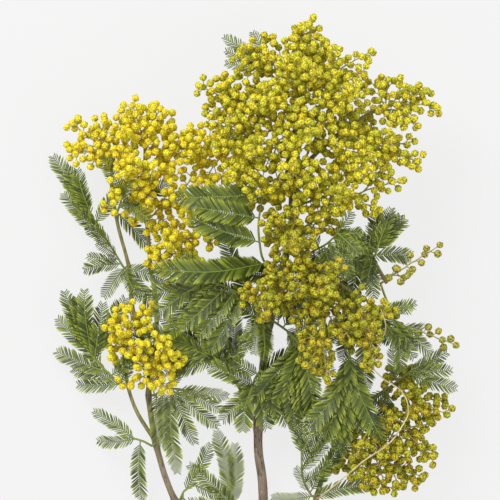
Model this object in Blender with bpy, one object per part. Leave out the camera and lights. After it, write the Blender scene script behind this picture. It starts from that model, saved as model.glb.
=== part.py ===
# Mimosa sprig: a cut flowering branch of silver wattle, lying on a flat surface.
# Lengths in the tables are millimetres: x across, y along the sprig towards its top, z up from the surface.
# The finished part has its origin at the middle of the underside of its bounding box.
import math
import random

import bmesh
import bpy
from mathutils import Vector

MM = 0.001

# Driving dimensions of the flowers
HEAD_RADIUS = 2.5
PEDICEL = 5.0
HEAD_SPACING = 2.15
LOOSE_SPACING = 3.2
LONG_RACEME = 26
AXIS_RADIUS = 0.75
RACEME_RADIUS = 0.6
PEDICEL_RADIUS = 0.32

# Driving dimensions of the leaves
RACHIS_RADIUS = 0.8
LEAFLET_LENGTH = 6.2
BLADE_THICKNESS = 0.9
RIB_HALF_WIDTH = 0.6
TOOTH_SPACING = 12.5
TOOTH_SWEEP = 3.6
BLADE_CUP = 0.22

# Spaces that neighbours keep
ROOT_GAP = 0.3
GAP = 0.4
HEAD_GAP = 0.1
CELL = 7.0
GOLDEN_ANGLE = math.radians(137.5)
SEED = 11

# How an axis leaves its stem, bends clear of the rest, and is tested
ROOT_LENGTH = 2.5
BENDS = 17
BEND_TURN = 2.4
BEND_STEP = 0.5
AXIS_STEP = 12
AXIS_TESTS = 24
STEM_STEP = 24
MAIN_STEM_STEP = 20
DRIED_STEP = 7

# How the rib of a pinna arches, leans, and is tested at several heights
RIB_STEP = 2.4
RIB_ARCH = 0.07
RIB_BEND = 0.05
BLADE_LEAN = 0.35
LOWEST_TIP = 1.2
LOWEST_ARCH = 1.6
LOWEST_BLADE = 0.8
BLADE_ROOM = 0.9
FREE_ROOT = 3
LIFTS = (0, 3, -3, 6, -6, 9, -9, 13, -13, 17, 22)

# How the leaflets shorten: share at the start, and how soon they are full length
SHORT_PINNA = 0.45
FULL_PINNA = 75
ROOT_SHARE = 0.62
ROOT_RISE = 2.2
TIP_SHARE = 0.42
TIP_RISE = 2.3

# How racemes leave the axis of a spray, and heads leave a raceme
RACEMES_FROM = 0.42
RACEMES_OVER = 0.56
RACEME_LEAN = 1.35
RACEME_LEAN_LOSS = 0.4
LAST_LEAN = 0.2
RACEME_TRIES = 10
RACEME_TURN = 0.63
RACEME_TESTS = 8
LOWEST_RACEME = 3
HEADS_FROM = 0.14
HEADS_OVER = 0.72
HEADS_SHARE = 0.85
HEAD_TRIES = 4
HEAD_TURN = 0.9

# Facets: sides of the thin tubes, and the heights and radii of the rings of a flower head
THIN_SIDES = 4
STALK_SIDES = 3
UPPER_RING = (0.36, 0.98)
LOWER_RING = (-0.52, 0.92)
NECK = -0.97
FLAT_ANGLE = math.radians(0.4)

# Each stem: radius at its root, radius at its tip, sides, and the points of its route
STEMS = {
    "main": (3.6, 1.3, 8, [
        (7, -285, 3.4), (7, -262, 3.4), (7, -225, 5), (8, -150, 12), (5, -120, 16), (6, -90, 21), (11, -48, 29),
        (21, -6, 35), (25, 13, 38), (25, 38, 41), (23, 49, 42), (29, 83, 45), (30, 114, 46), (31, 128, 46)]),
    "left": (2.3, 1.0, 6, [
        (7, -236, 5), (-12, -205, 8), (-33, -172, 10), (-47, -149, 11), (-56, -122, 12), (-61, -94, 13),
        (-61, -80, 14), (-57, -54, 15), (-57, -30, 16), (-60, -12, 17), (-62, 12, 19), (-64, 36, 20),
        (-63, 62, 20)]),
    "right": (2.1, 1.0, 6, [
        (7, -240, 5), (22, -208, 8), (34, -172, 10), (41, -148, 12), (47, -128, 14), (58, -108, 16), (72, -92, 18),
        (90, -80, 20)]),
    "left_upper": (1.3, 0.9, 6, [
        (-60, -66, 14), (-68, -46, 15), (-72, -30, 15), (-73, -12, 15), (-80, 15, 16), (-84, 40, 17), (-82, 60, 17)]),
    "left_twig": (1.3, 0.9, 6, [
        (-57, -116, 12), (-62, -109, 14), (-69, -97, 16), (-74, -82, 17), (-77, -60, 18)]),
    "low_twig": (1.3, 0.9, 6, [(5, -106, 18), (-2, -96, 22), (-6, -84, 24), (-12, -74, 27)]),
    "front_shoot": (1.4, 0.9, 6, [(20, -10, 34), (34, -8, 48), (50, -18, 60), (64, -28, 64)]),
    "right_shoot": (1.4, 0.9, 6, [(24, 8, 37), (46, 12, 42), (68, 2, 44), (82, -20, 46)]),
    "high_right_shoot": (1.4, 0.9, 6, [(25, 42, 41), (42, 60, 47), (62, 76, 50), (80, 86, 50)]),
    "high_left_shoot": (1.4, 0.9, 6, [(26, 66, 43), (12, 80, 46), (-8, 90, 45)]),
}

# Each spray: colour, reach of its racemes, number of racemes, and the route of its axis from its stem outwards
SPRAYS = {
    "spray_top": ("lime", 16, 6, [(30, 108, 48), (32, 116, 50), (34, 122, 52)]),
    "spray_top_left": ("lime", 21, 6, [(29, 96, 46), (18, 104, 54), (10, 109, 58)]),
    "spray_top_right": ("lime", 21, 5, [(30, 98, 46), (44, 104, 54), (54, 108, 56)]),
    "spray_top_front": ("lime", 21, 6, [(30, 102, 48), (32, 102, 64), (34, 104, 74)]),
    "spray_high_left": ("lime", 20, 5, [(-2, 88, 46), (-8, 88, 48), (-13, 90, 50)]),
    "spray_left_edge": ("lime", 21, 6, [(8, 80, 46), (-1, 72, 56), (-7, 70, 60)]),
    "spray_centre_high": ("lime", 21, 6, [(29, 86, 46), (18, 88, 64), (12, 88, 74)]),
    "spray_centre": ("lime", 21, 6, [(26, 64, 44), (16, 64, 64), (10, 64, 74)]),
    "spray_centre_front": ("lime", 21, 6, [(28, 74, 46), (31, 74, 66), (32, 74, 78)]),
    "spray_centre_right": ("lime", 21, 6, [(34, 54, 46), (48, 84, 62), (54, 90, 72)]),
    "spray_centre_low": ("lime", 21, 5, [(24, 44, 42), (24, 46, 64), (24, 46, 76)]),
    "spray_left_low": ("lime", 18, 4, [(25, 36, 41), (8, 40, 56), (0, 42, 62)]),
    "spray_high_right": ("lime", 20, 6, [(74, 83, 50), (84, 86, 52), (90, 87, 53)]),
    "spray_right_edge": ("lime", 21, 6, [(58, 73, 49), (74, 64, 56), (82, 60, 58)]),
    "spray_right_front": ("lime", 21, 6, [(46, 63, 47), (54, 60, 64), (58, 58, 74)]),
    "spray_right_low": ("lime", 21, 5, [(32, 9, 39), (58, 30, 54), (70, 36, 58)]),
    "spray_right_low_front": ("lime", 21, 6, [(25, 26, 40), (44, 32, 60), (50, 34, 72)]),
    "spray_back_top": ("lime", 18, 3, [(30, 104, 45), (34, 108, 28), (36, 110, 20)]),
    "spray_back_right": ("lime", 18, 3, [(52, 68, 48), (60, 74, 28), (64, 76, 20)]),
    "spray_back_left": ("yellow", 20, 4, [(16, 72, 44), (-4, 66, 30), (-14, 62, 24)]),
    "spray_front_left": ("yellow", 20, 6, [(17, -20, 34), (14, -26, 54), (12, -28, 66)]),
    "spray_front_high": ("yellow", 21, 6, [(25, 12, 38), (24, 8, 60), (24, 8, 74)]),
    "spray_front_mid": ("yellow", 20, 6, [(38, -11, 50), (38, -16, 66), (39, -18, 78)]),
    "spray_front_low": ("yellow", 21, 6, [(50, -18, 60), (46, -40, 72), (45, -54, 74)]),
    "spray_front_right": ("yellow", 21, 6, [(62, -27, 64), (68, -38, 72), (68, -48, 76)]),
    "spray_right_twig": ("olive", 28, 2, [(81, -16, 46), (85, -15, 48), (90, -12, 50)]),
    "spray_right_lower_twig": ("olive", 29, 2, [(82, -20, 46), (88, -44, 46), (97, -47, 46)]),
    "spray_left_top": ("yellow", 21, 6, [(-63, 56, 20), (-64, 66, 28), (-66, 72, 32)]),
    "spray_left_far": ("yellow", 20, 5, [(-82, 52, 17), (-88, 60, 24), (-92, 64, 26)]),
    "spray_left_right": ("yellow", 22, 6, [(-63, 48, 20), (-48, 60, 32), (-38, 64, 36)]),
    "spray_left_front": ("yellow", 21, 6, [(-64, 38, 20), (-68, 44, 36), (-70, 46, 44)]),
    "spray_left_mid": ("yellow", 21, 6, [(-62, 20, 20), (-48, 28, 32), (-38, 32, 38)]),
    "spray_left_under": ("yellow", 20, 4, [(-60, -10, 18), (-50, 0, 28), (-44, 4, 32)]),
    "spray_lower_left_top": ("yellow", 17, 5, [(-77, -62, 18), (-74, -52, 28), (-72, -46, 32)]),
    "spray_lower_left": ("yellow", 20, 6, [(-61, -78, 15), (-58, -72, 30), (-55, -64, 38)]),
    "spray_lower_right_top": ("yellow", 21, 5, [(88, -81, 20), (96, -88, 28), (100, -90, 30)]),
    "spray_lower_right": ("yellow", 20, 6, [(76, -90, 18), (90, -106, 32), (96, -112, 34)]),
    "spray_lower_right_inner": ("yellow", 21, 4, [(64, -101, 17), (70, -106, 34), (72, -108, 40)]),
    "spray_lower_right_low": ("yellow", 20, 6, [(52, -118, 15), (76, -126, 26), (86, -130, 28)]),
}

# Each leaf: size of its leaflets, the route of its rachis from its stem, then its pinnae as a place along the
# rachis and a tip
LEAVES = {
    "leaf_mid_upper": (1.3, [(19, -16, 34), (8, -6, 50), (5, 14, 58), (8, 34, 58)], [
        (0.98, (-42, 31, 58)), (0.75, (-30, 25, 66)), (0.52, (-34, 19, 62)), (0.3, (-55, -12, 62)),
        (0.16, (-24, -12, 54))]),
    "leaf_mid_lower": (1.0, [(12, -44, 30), (0, -30, 44), (-14, -22, 50), (-28, -18, 50)], [
        (1.0, (-62, -26, 44)), (0.95, (-49, -52, 40)), (0.66, (-23, -60, 46)), (0.4, (-4, -60, 50)),
        (0.8, (-40, -46, 50)), (0.5, (-40, -2, 52)),
        (0.25, (8, -66, 56))]),
    "leaf_low_mid": (1.0, [(-11, -75, 27), (-20, -66, 34), (-30, -58, 36)], [
        (1.0, (-70, -44, 34)), (0.9, (-50, -58, 30)), (0.7, (-50, -74, 26)), (0.5, (-38, -36, 40)),
        (0.35, (-2, -50, 42))]),
    "leaf_low_left": (0.9, [(-61, -88, 13), (-52, -84, 20), (-42, -84, 24)], [
        (1.0, (-14, -88, 28)), (0.8, (-44, -134, 16)), (0.9, (-20, -106, 22)), (0.4, (-56, -118, 22))]),
    "leaf_bottom_left": (0.9, [(-57, -119, 12), (-64, -116, 18), (-70, -114, 20)], [
        (1.0, (-94, -98, 14)), (0.8, (-66, -152, 6)), (0.95, (-92, -116, 8))]),
    "leaf_left_base": (0.9, [(-45, -152, 11), (-40, -146, 18), (-34, -142, 20)], [
        (1.0, (-12, -152, 14)), (0.7, (-24, -118, 20)), (0.6, (-40, -182, 8))]),
    "leaf_left_lower": (1.0, [(-74, -83, 17), (-84, -76, 20), (-94, -66, 22), (-97, -58, 24)], [
        (1.0, (-112, -26, 20)), (0.95, (-100, -25, 28)), (0.75, (-89, -33, 26)), (0.85, (-116, -42, 14)),
        (0.55, (-117, -62, 8)), (0.3, (-104, -82, 6))]),
    "leaf_left_upper": (1.0, [(-74, -10, 15), (-84, 2, 20), (-92, 14, 22), (-98, 26, 22)], [
        (1.0, (-119, 56, 14)), (0.85, (-113, 34, 8)), (0.95, (-104, 48, 30)), (0.6, (-104, 22, 30)),
        (0.4, (-92, 4, 34)), (0.3, (-100, -12, 12)), (0.2, (-66, -30, 34))]),
    "leaf_left_inner": (1.0, [(-82, 22, 16), (-78, 28, 34), (-76, 34, 44)], [
        (1.0, (-88, 54, 52)), (0.7, (-60, 18, 50))]),
    "leaf_top_left": (0.9, [(29, 92, 45), (16, 102, 42), (4, 112, 44)], [
        (1.0, (-15, 127, 46)), (0.8, (2, 130, 40)), (0.85, (-14, 112, 38))]),
    "leaf_right_mid": (1.0, [(32, -8, 45), (46, 4, 62), (52, 10, 70)], [
        (1.0, (64, -2, 78)), (0.8, (60, -16, 72)), (0.95, (60, 22, 68)), (0.6, (49, -24, 66))]),
    "leaf_right_feather": (1.1, [(70, 0, 44), (74, -4, 52), (76, 2, 58)], [
        (1.0, (84, 24, 58)), (0.9, (92, 18, 52)), (0.5, (74, -28, 54)), (0.8, (64, 10, 54))]),
    "leaf_right_low": (1.0, [(62, -26, 62), (76, -34, 54), (88, -44, 50)], [
        (1.0, (108, -62, 40)), (0.8, (98, -32, 56)), (0.95, (90, -72, 44)), (0.6, (72, -66, 48))]),
    "leaf_right_pale": (1.0, [(82, -85, 20), (90, -78, 34), (97, -72, 40)], [
        (0.9, (123, -83, 36)), (1.0, (118, -62, 32)), (0.6, (86, -60, 30))]),
    "leaf_centre_bottom": (1.1, [(13, -42, 30), (24, -50, 44), (31, -58, 50)], [
        (0.85, (27, -106, 38)), (1.0, (38, -99, 42)), (0.6, (48, -72, 50))]),
    "leaf_centre_left": (1.2, [(6, -88, 22), (2, -80, 34), (6, -72, 40)], [
        (0.9, (22, -104, 42)), (1.0, (24, -84, 46)), (0.6, (-16, -102, 28)), (0.9, (-10, -66, 44))]),
    "leaf_hanging": (1.15, [(56, -22, 61), (60, -50, 56), (58, -72, 52)], [
        (1.0, (54, -122, 36)), (0.95, (45, -112, 40)), (0.8, (68, -108, 44))]),
    "leaf_stem": (0.9, [(8, -168, 11), (-4, -164, 16), (-13, -150, 20)], [
        (1.0, (-20, -110, 20)), (0.8, (-36, -130, 14)), (0.9, (-9, -118, 24)), (0.5, (-28, -176, 8)),
        (0.6, (-36, -152, 12))]),
    "leaf_right_base": (0.9, [(40, -150, 12), (32, -138, 22), (31, -122, 30)], [
        (1.0, (22, -96, 34)), (0.95, (42, -100, 32)), (0.6, (50, -128, 30)), (0.3, (14, -150, 18))]),
}

# The bare dried rachis: radius at its root and tip, and its route from the right branch
DRIED_RACHIS = (0.5, 0.32, [
    (41, -150, 12), (46, -146, 26), (56, -137, 40), (68, -126, 50), (82, -116, 58), (89, -107, 62), (94, -97, 64),
    (93, -89, 66), (89, -83, 68), (80, -77, 72), (73, -70, 76), (72, -64, 78), (75, -58, 80), (80, -46, 84),
    (77, -35, 88)])

# Colour, roughness and metallic value of each material
MATERIALS = {
    "bark": ((0.19, 0.15, 0.11), 0.75, 0.0),
    "lime": ((0.52, 0.48, 0.03), 0.8, 0.0),
    "yellow": ((0.70, 0.61, 0.03), 0.8, 0.0),
    "olive": ((0.36, 0.34, 0.06), 0.8, 0.0),
    "leaf": ((0.09, 0.17, 0.05), 0.6, 0.0),
    "dry": ((0.55, 0.46, 0.27), 0.7, 0.0),
}


def unit(vector, fallback=(0, 0, 1)):
    return vector.normalized() if vector.length > 1e-6 else Vector(fallback)


def across(vector, direction):
    return vector - direction * vector.dot(direction)


def along(points, step):
    # A smooth curve through the route's points, with a point about every step millimetres
    route = [Vector(p) for p in points]
    route = [route[0] * 2 - route[1]] + route + [route[-1] * 2 - route[-2]]
    curve = []
    for a, b, c, d in zip(route, route[1:], route[2:], route[3:]):
        count = max(1, round((c - b).length / step))
        for i in range(count):
            t = i / count
            curve.append(0.5 * (2 * b + (c - a) * t + (2 * a - 5 * b + 4 * c - d) * t ** 2
                                + (3 * b - a - 3 * c + d) * t ** 3))
    return curve + [route[-2]]


def place(curve, fraction):
    position = fraction * (len(curve) - 1)
    i = min(int(position), len(curve) - 2)
    return curve[i].lerp(curve[i + 1], position - i)


class Room:
    # Remembers the space that is taken, as small spheres in a grid of cells

    def __init__(self):
        self.cells = {}

    def add(self, point, radius, owner, is_head=False):
        key = (int(point.x // CELL), int(point.y // CELL), int(point.z // CELL))
        self.cells.setdefault(key, []).append((point, radius, owner, is_head))

    def crossings(self, point, radius, owner, is_head=False):
        found = 0
        x, y, z = int(point.x // CELL), int(point.y // CELL), int(point.z // CELL)
        for key in ((x + i, y + j, z + k) for i in (-1, 0, 1) for j in (-1, 0, 1) for k in (-1, 0, 1)):
            for other, size, name, other_head in self.cells.get(key, ()):
                if name == owner and not (is_head and other_head):
                    continue
                if (other - point).length < radius + size + (HEAD_GAP if name == owner else GAP):
                    found += 1
        return found


def root_on_stem(room_stems, route, radius):
    # Starts a route just outside the nearest stem, and leaves it at a right angle
    first, second = Vector(route[0]), Vector(route[1])
    centre, size, tangent = min(room_stems, key=lambda entry: (entry[0] - first).length)
    outward = unit(across(second - centre, tangent))
    start = centre + outward * (size + ROOT_GAP)
    return [start, start + outward * ROOT_LENGTH * radius] + [Vector(p) for p in route[1:]]


def clear_axis(room, name, route, radius):
    # Bends a route a little, the least that keeps it clear of what is there, and takes its space
    best = None
    for turn in range(BENDS):
        way = turn * BEND_TURN
        bend = Vector((math.cos(way), math.sin(way), 0.6 * math.sin(turn * 1.7))) * (BEND_STEP * turn)
        bent = route[:2] + [p + bend for p in route[2:]]
        axis = along(bent, AXIS_STEP)
        hits = sum(room.crossings(place(axis, k / AXIS_TESTS), radius, name) for k in range(4, AXIS_TESTS + 1))
        if best is None or hits < best[0]:
            best = (hits, axis)
        if hits == 0:
            break
    for k in range(1, AXIS_TESTS + 1):
        room.add(place(best[1], k / AXIS_TESTS), radius, name)
    if best[0]:
        print("crosses", name, best[0])
    return best[1]


def stem_curves():
    curves = {}
    for name, (root, tip, sides, route) in STEMS.items():
        curve = along(route, MAIN_STEM_STEP if name == "main" else STEM_STEP)
        radii = [root + (tip - root) * i / (len(curve) - 1) for i in range(len(curve))]
        curves[name] = (curve, radii, sides)
    return curves


def stem_places(curves, room):
    # Points every 2 mm along the stems, with radius and direction there
    places = []
    for curve, radii, sides in curves.values():
        for a, b, size in zip(curve, curve[1:], radii):
            tangent = unit(b - a)
            count = max(2, round((b - a).length / 2))
            for i in range(count):
                point = a.lerp(b, i / count)
                places.append((point, size, tangent))
                room.add(point, size, "woody_stem")
    return places


def lay_pinna(base, tip, lift, side_bend):
    # The rib of one pinna: its points, and the way its blade faces
    reach = tip - base
    top = base.lerp(tip, 0.5) + Vector((0, 0, RIB_ARCH * reach.length)) + side_bend * RIB_BEND * reach.length
    end = Vector((tip.x, tip.y, max(LOWEST_TIP, tip.z + lift)))
    top.z = max(LOWEST_ARCH, top.z + lift * 0.5)
    return along([base, top, end], RIB_STEP)


def blade_frame(rib, i, lean):
    tangent = unit(rib[min(i + 1, len(rib) - 1)] - rib[max(i - 1, 0)])
    facing = unit(across(Vector((lean.x, lean.y, 1.0)), tangent))
    return tangent, facing, tangent.cross(facing)


def leaflet_reach(fraction, length, size):
    # Leaflets shorten towards both ends of a pinna, and on a short pinna
    full = LEAFLET_LENGTH * size * min(1.0, SHORT_PINNA + length / FULL_PINNA)
    return full * min(1.0, ROOT_SHARE + ROOT_RISE * fraction) * min(1.0, TIP_SHARE + TIP_RISE * (1 - fraction))


def blade_samples(rib, lean, size):
    length = sum((b - a).length for a, b in zip(rib, rib[1:]))
    samples = []
    for i in range(1, len(rib)):
        tangent, facing, side = blade_frame(rib, i, lean)
        reach = leaflet_reach(i / (len(rib) - 1), length, size)
        for share in (0.0, 0.33, 0.66, 1.0):
            for way in (-1, 1):
                out = side * (way * reach * share) + tangent * (TOOTH_SWEEP * share)
                samples.append(rib[i] + out + facing * (reach * share * BLADE_CUP))
    return samples


def lay_leaves(room, places):
    leaves = {}
    rng = random.Random(SEED)
    for name, (size, route, pinnae) in LEAVES.items():
        rachis = clear_axis(room, name, root_on_stem(places, route, RACHIS_RADIUS), RACHIS_RADIUS)
        blades = []
        for fraction, tip in pinnae:
            base = place(rachis, fraction)
            lean = Vector((rng.uniform(-BLADE_LEAN, BLADE_LEAN), rng.uniform(-BLADE_LEAN, BLADE_LEAN), 0))
            side_bend = Vector((rng.uniform(-1, 1), rng.uniform(-1, 1), 0))
            tries = []
            for lift in LIFTS:
                rib = lay_pinna(base, Vector(tip), lift, side_bend)
                samples = blade_samples(rib, lean, size)
                hits = sum(room.crossings(p, BLADE_ROOM, name) for p in samples if (p - base).length > FREE_ROOT)
                low = sum(1 for p in samples if p.z < LOWEST_BLADE)
                tries.append((hits + low, len(tries), rib, samples))
                if hits + low == 0:
                    break
            hits, order, rib, samples = min(tries, key=lambda entry: entry[:2])
            if hits:
                print("left out", name, fraction, tip, hits)
                continue
            blades.append((rib, lean))
            for point in samples:
                room.add(point, BLADE_ROOM, name)
        leaves[name] = (size, rachis, blades)
    return leaves


def lay_raceme(room, name, foot, direction, reach, turn):
    # One raceme: its axis, which ends in a head, and the feet and centres of the heads along it
    tip = foot + direction * reach
    lowest = HEAD_RADIUS + 0.5 * HEAD_GAP
    tip.z = max(tip.z, lowest)
    axis = [foot, tip]
    if room.crossings(tip, HEAD_RADIUS, name, True):
        return axis, [], True
    spacing = LOOSE_SPACING if reach > LONG_RACEME else HEAD_SPACING
    count = max(3, round(HEADS_SHARE * reach / spacing))
    side = unit(across(Vector((0.3, 0.5, 0.8)), direction))
    other = direction.cross(side)
    heads = [(None, tip, count)]
    for i in range(count):
        start = place(axis, HEADS_FROM + HEADS_OVER * i / (count - 1))
        forward = 0.45 + 0.5 * i / (count - 1)
        for attempt in range(HEAD_TRIES):
            angle = turn + i * GOLDEN_ANGLE + attempt * HEAD_TURN
            out = unit(side * math.cos(angle) + other * math.sin(angle) + direction * forward)
            centre = start + out * PEDICEL
            centre.z = max(centre.z, lowest)
            taken = room.crossings(centre, HEAD_RADIUS, name, True)
            taken += sum(1 for head in heads if (head[1] - centre).length < 2 * HEAD_RADIUS + HEAD_GAP)
            if not taken and not room.crossings(start.lerp(centre, 0.35), PEDICEL_RADIUS, name):
                heads.append((start, centre, i))
                break
    tests = range(1, RACEME_TESTS)
    blocked = sum(room.crossings(place(axis, k / RACEME_TESTS), RACEME_RADIUS, name) for k in tests)
    return axis, heads, blocked


def lay_sprays(room, places):
    sprays = {}
    rng = random.Random(SEED + 1)
    for name, (colour, reach, number, route) in SPRAYS.items():
        axis = clear_axis(room, name, root_on_stem(places, route, AXIS_RADIUS), AXIS_RADIUS)
        racemes = []
        for j in range(number):
            last = j == number - 1
            fraction = 1.0 if last else RACEMES_FROM + RACEMES_OVER * j / (number - 1)
            foot = place(axis, fraction)
            forward = unit(axis[-1] - axis[-2])
            side = unit(across(Vector((0.5, -0.4, 0.8)), forward))
            other = forward.cross(side)
            best = None
            for attempt in range(RACEME_TRIES):
                turn = j * GOLDEN_ANGLE + rng.uniform(-0.5, 0.5) + attempt * RACEME_TURN
                lean = LAST_LEAN if last else RACEME_LEAN - RACEME_LEAN_LOSS * j / number
                direction = unit(forward + (side * math.cos(turn) + other * math.sin(turn)) * lean)
                if foot.z + direction.z * reach < LOWEST_RACEME:
                    direction = unit(Vector((direction.x, direction.y, (LOWEST_RACEME - foot.z) / reach)))
                axis_of_raceme, heads, blocked = lay_raceme(room, name, foot, direction, reach, turn)
                if blocked:
                    continue
                if best is None or len(heads) > len(best[1]):
                    best = (axis_of_raceme, heads)
            if best is None:
                print("no room for a raceme", name, j)
                continue
            racemes.append(best)
            for k in range(1, RACEME_TESTS + 1):
                room.add(place(best[0], k / RACEME_TESTS), RACEME_RADIUS, name)
            for start, centre, i in best[1]:
                room.add(centre, HEAD_RADIUS, name, True)
                for share in (0.15, 0.3, 0.45) if start else ():
                    room.add(start.lerp(centre, share), PEDICEL_RADIUS, name)
        sprays[name] = (colour, axis, racemes)
    return sprays


def ring_frame(points, i, side):
    tangent = unit(points[min(i + 1, len(points) - 1)] - points[max(i - 1, 0)])
    side = unit(across(side, tangent))
    return tangent, side, tangent.cross(side)


def add_tube(bm, points, radii, sides):
    # A closed tube with a flat cap at both ends
    rings = []
    side = unit(across(Vector((0.1, 0.2, 1)), unit(points[1] - points[0])))
    for i, (point, radius) in enumerate(zip(points, radii)):
        tangent, side, other = ring_frame(points, i, side)
        ring = []
        for k in range(sides):
            angle = 2 * math.pi * (k + 0.5) / sides
            ring.append(bm.verts.new((point + (side * math.cos(angle) + other * math.sin(angle)) * radius) * MM))
        rings.append(ring)
    for a, b in zip(rings, rings[1:]):
        for k in range(sides):
            bm.faces.new((a[k], a[(k + 1) % sides], b[(k + 1) % sides], b[k]))
    bm.faces.new(rings[0][::-1])
    bm.faces.new(rings[-1])


def add_head(bm, centre, direction, stalk):
    # A flower head of two rings and a top point, on a three-sided stalk sunk in the raceme, or threaded on its tip
    side = unit(across(Vector((0.2, 0.9, 0.4)), direction))
    other = direction.cross(side)

    def ring(height, radius, turn):
        angles = [turn + 2 * math.pi * k / STALK_SIDES for k in range(STALK_SIDES)]
        return [bm.verts.new((centre + direction * height + (side * math.cos(a) + other * math.sin(a)) * radius)
                             * MM) for a in angles]

    top = bm.verts.new((centre + direction * HEAD_RADIUS) * MM)
    upper = ring(UPPER_RING[0] * HEAD_RADIUS, UPPER_RING[1] * HEAD_RADIUS, 0.0)
    lower = ring(LOWER_RING[0] * HEAD_RADIUS, LOWER_RING[1] * HEAD_RADIUS, math.pi / STALK_SIDES)
    for k in range(STALK_SIDES):
        n = (k + 1) % STALK_SIDES
        bm.faces.new((top, upper[k], upper[n]))
        bm.faces.new((upper[k], lower[k], upper[n]))
        bm.faces.new((lower[k], lower[n], upper[n]))
    if not stalk:
        bottom = bm.verts.new((centre - direction * HEAD_RADIUS) * MM)
        for k in range(STALK_SIDES):
            bm.faces.new((lower[k], bottom, lower[(k + 1) % STALK_SIDES]))
        return
    neck = ring(NECK * HEAD_RADIUS, PEDICEL_RADIUS, math.pi / STALK_SIDES)
    base = ring(-stalk, PEDICEL_RADIUS, math.pi / STALK_SIDES)
    for k in range(STALK_SIDES):
        n = (k + 1) % STALK_SIDES
        bm.faces.new((lower[k], neck[k], neck[n], lower[n]))
        bm.faces.new((neck[k], base[k], base[n], neck[n]))
    bm.faces.new(base)


def add_blade(bm, rib, lean, size):
    # One pinna: a thin arched blade, cut to the rib into forward-swept teeth
    length = sum((b - a).length for a, b in zip(rib, rib[1:]))
    teeth = max(3, round(length / TOOTH_SPACING))
    half = BLADE_THICKNESS / 2
    stations = []
    for i in range(teeth + 1):
        index = round(i / teeth * (len(rib) - 1))
        tangent, facing, side = blade_frame(rib, index, lean)
        at = place(rib, i / teeth)
        width = RIB_HALF_WIDTH * (1.0 if i else 0.6)
        corners = [bm.verts.new((at + side * width * s + facing * half * f) * MM)
                   for s, f in ((-1, 1), (1, 1), (1, -1), (-1, -1))]
        stations.append(corners)
    bm.faces.new(stations[0])
    bm.faces.new(stations[-1][::-1])
    for i, (a, b) in enumerate(zip(stations, stations[1:])):
        fraction = (i + 0.5) / teeth
        index = round(fraction * (len(rib) - 1))
        tangent, facing, side = blade_frame(rib, index, lean)
        reach = leaflet_reach(fraction, length, size)
        outer = tangent * TOOTH_SWEEP + facing * reach * BLADE_CUP
        left, right = [bm.verts.new((place(rib, fraction) + side * way * reach + outer) * MM) for way in (-1, 1)]
        bm.faces.new((a[0], a[1], b[1], b[0]))
        bm.faces.new((a[2], a[3], b[3], b[2]))
        bm.faces.new((a[0], b[0], left))
        bm.faces.new((a[3], left, b[3]))
        bm.faces.new((a[3], a[0], left))
        bm.faces.new((b[0], b[3], left))
        bm.faces.new((a[1], right, b[1]))
        bm.faces.new((a[2], b[2], right))
        bm.faces.new((a[1], a[2], right))
        bm.faces.new((b[2], b[1], right))


def material(name):
    made = bpy.data.materials.get(name)
    if made:
        return made
    colour, roughness, metallic = MATERIALS[name]
    made = bpy.data.materials.new(name)
    made.use_nodes = True
    shader = made.node_tree.nodes["Principled BSDF"]
    shader.inputs["Base Color"].default_value = (*colour, 1)
    shader.inputs["Roughness"].default_value = roughness
    shader.inputs["Metallic"].default_value = metallic
    made.diffuse_color = (*colour, 1)
    return made


def make_object(name, build, collection):
    bm = bmesh.new()
    build(bm)
    bmesh.ops.recalc_face_normals(bm, faces=bm.faces)
    mesh = bpy.data.meshes.new(name)
    bm.to_mesh(mesh)
    bm.free()
    made = bpy.data.objects.new(name, mesh)
    collection.objects.link(made)
    return made


def fused(name, core, repeats, colour):
    # One object: the core with every repeat united into it
    scene = bpy.context.scene.collection
    body = make_object(name, core, scene)
    joined = bpy.data.collections.new(name + "_repeats")
    scene.children.link(joined)
    for i, build in enumerate(repeats):
        make_object(f"{name}_repeat_{i}", build, joined)
    union = body.modifiers.new("union", "BOOLEAN")
    union.operation = "UNION"
    union.operand_type = "COLLECTION"
    union.collection = joined
    union.solver = "MANIFOLD"
    shape = bpy.data.meshes.new_from_object(body.evaluated_get(bpy.context.evaluated_depsgraph_get()))
    body.modifiers.remove(union)
    body.data = shape
    for piece in list(joined.objects):
        bpy.data.objects.remove(piece)
    bpy.data.collections.remove(joined)
    shape.materials.clear()
    shape.materials.append(material(colour))
    bm = bmesh.new()
    bm.from_mesh(shape)
    bmesh.ops.dissolve_limit(bm, angle_limit=FLAT_ANGLE, verts=bm.verts, edges=bm.edges)
    bmesh.ops.triangulate(bm, faces=bm.faces)
    bm.to_mesh(shape)
    bm.free()
    return body


def build_stems(curves):
    def tube(name):
        curve, radii, sides = curves[name]
        return lambda bm: add_tube(bm, curve, radii, sides)

    names = list(curves)
    fused("woody_stem", tube(names[0]), [tube(name) for name in names[1:]], "bark")


def build_spray(name, colour, axis, racemes):
    def core(bm):
        add_tube(bm, axis, [AXIS_RADIUS] * len(axis), THIN_SIDES)

    def branch(foot, tip):
        return lambda bm: add_tube(bm, [foot, tip], [RACEME_RADIUS, 0.8 * RACEME_RADIUS], STALK_SIDES)

    def bloom(centre, direction, stalk):
        return lambda bm: add_head(bm, centre, direction, stalk)

    repeats = []
    for (foot, tip), heads in racemes:
        repeats.append(branch(foot, tip))
        repeats.append(bloom(tip, unit(tip - foot), 0))
        for start, centre, i in heads[1:]:
            if (tip - foot).length > LONG_RACEME and i % 2:
                repeats.append(bloom(centre, unit(centre - start), (centre - start).length))
    fused(name, core, repeats, colour)


def build_leaf(name, size, rachis, blades):
    def core(bm):
        radii = [RACHIS_RADIUS * (1 - 0.3 * i / (len(rachis) - 1)) for i in range(len(rachis))]
        add_tube(bm, rachis, radii, THIN_SIDES)

    def blade(rib, lean):
        return lambda bm: add_blade(bm, rib, lean, size)

    fused(name, core, [blade(rib, lean) for rib, lean in blades], "leaf")


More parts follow.
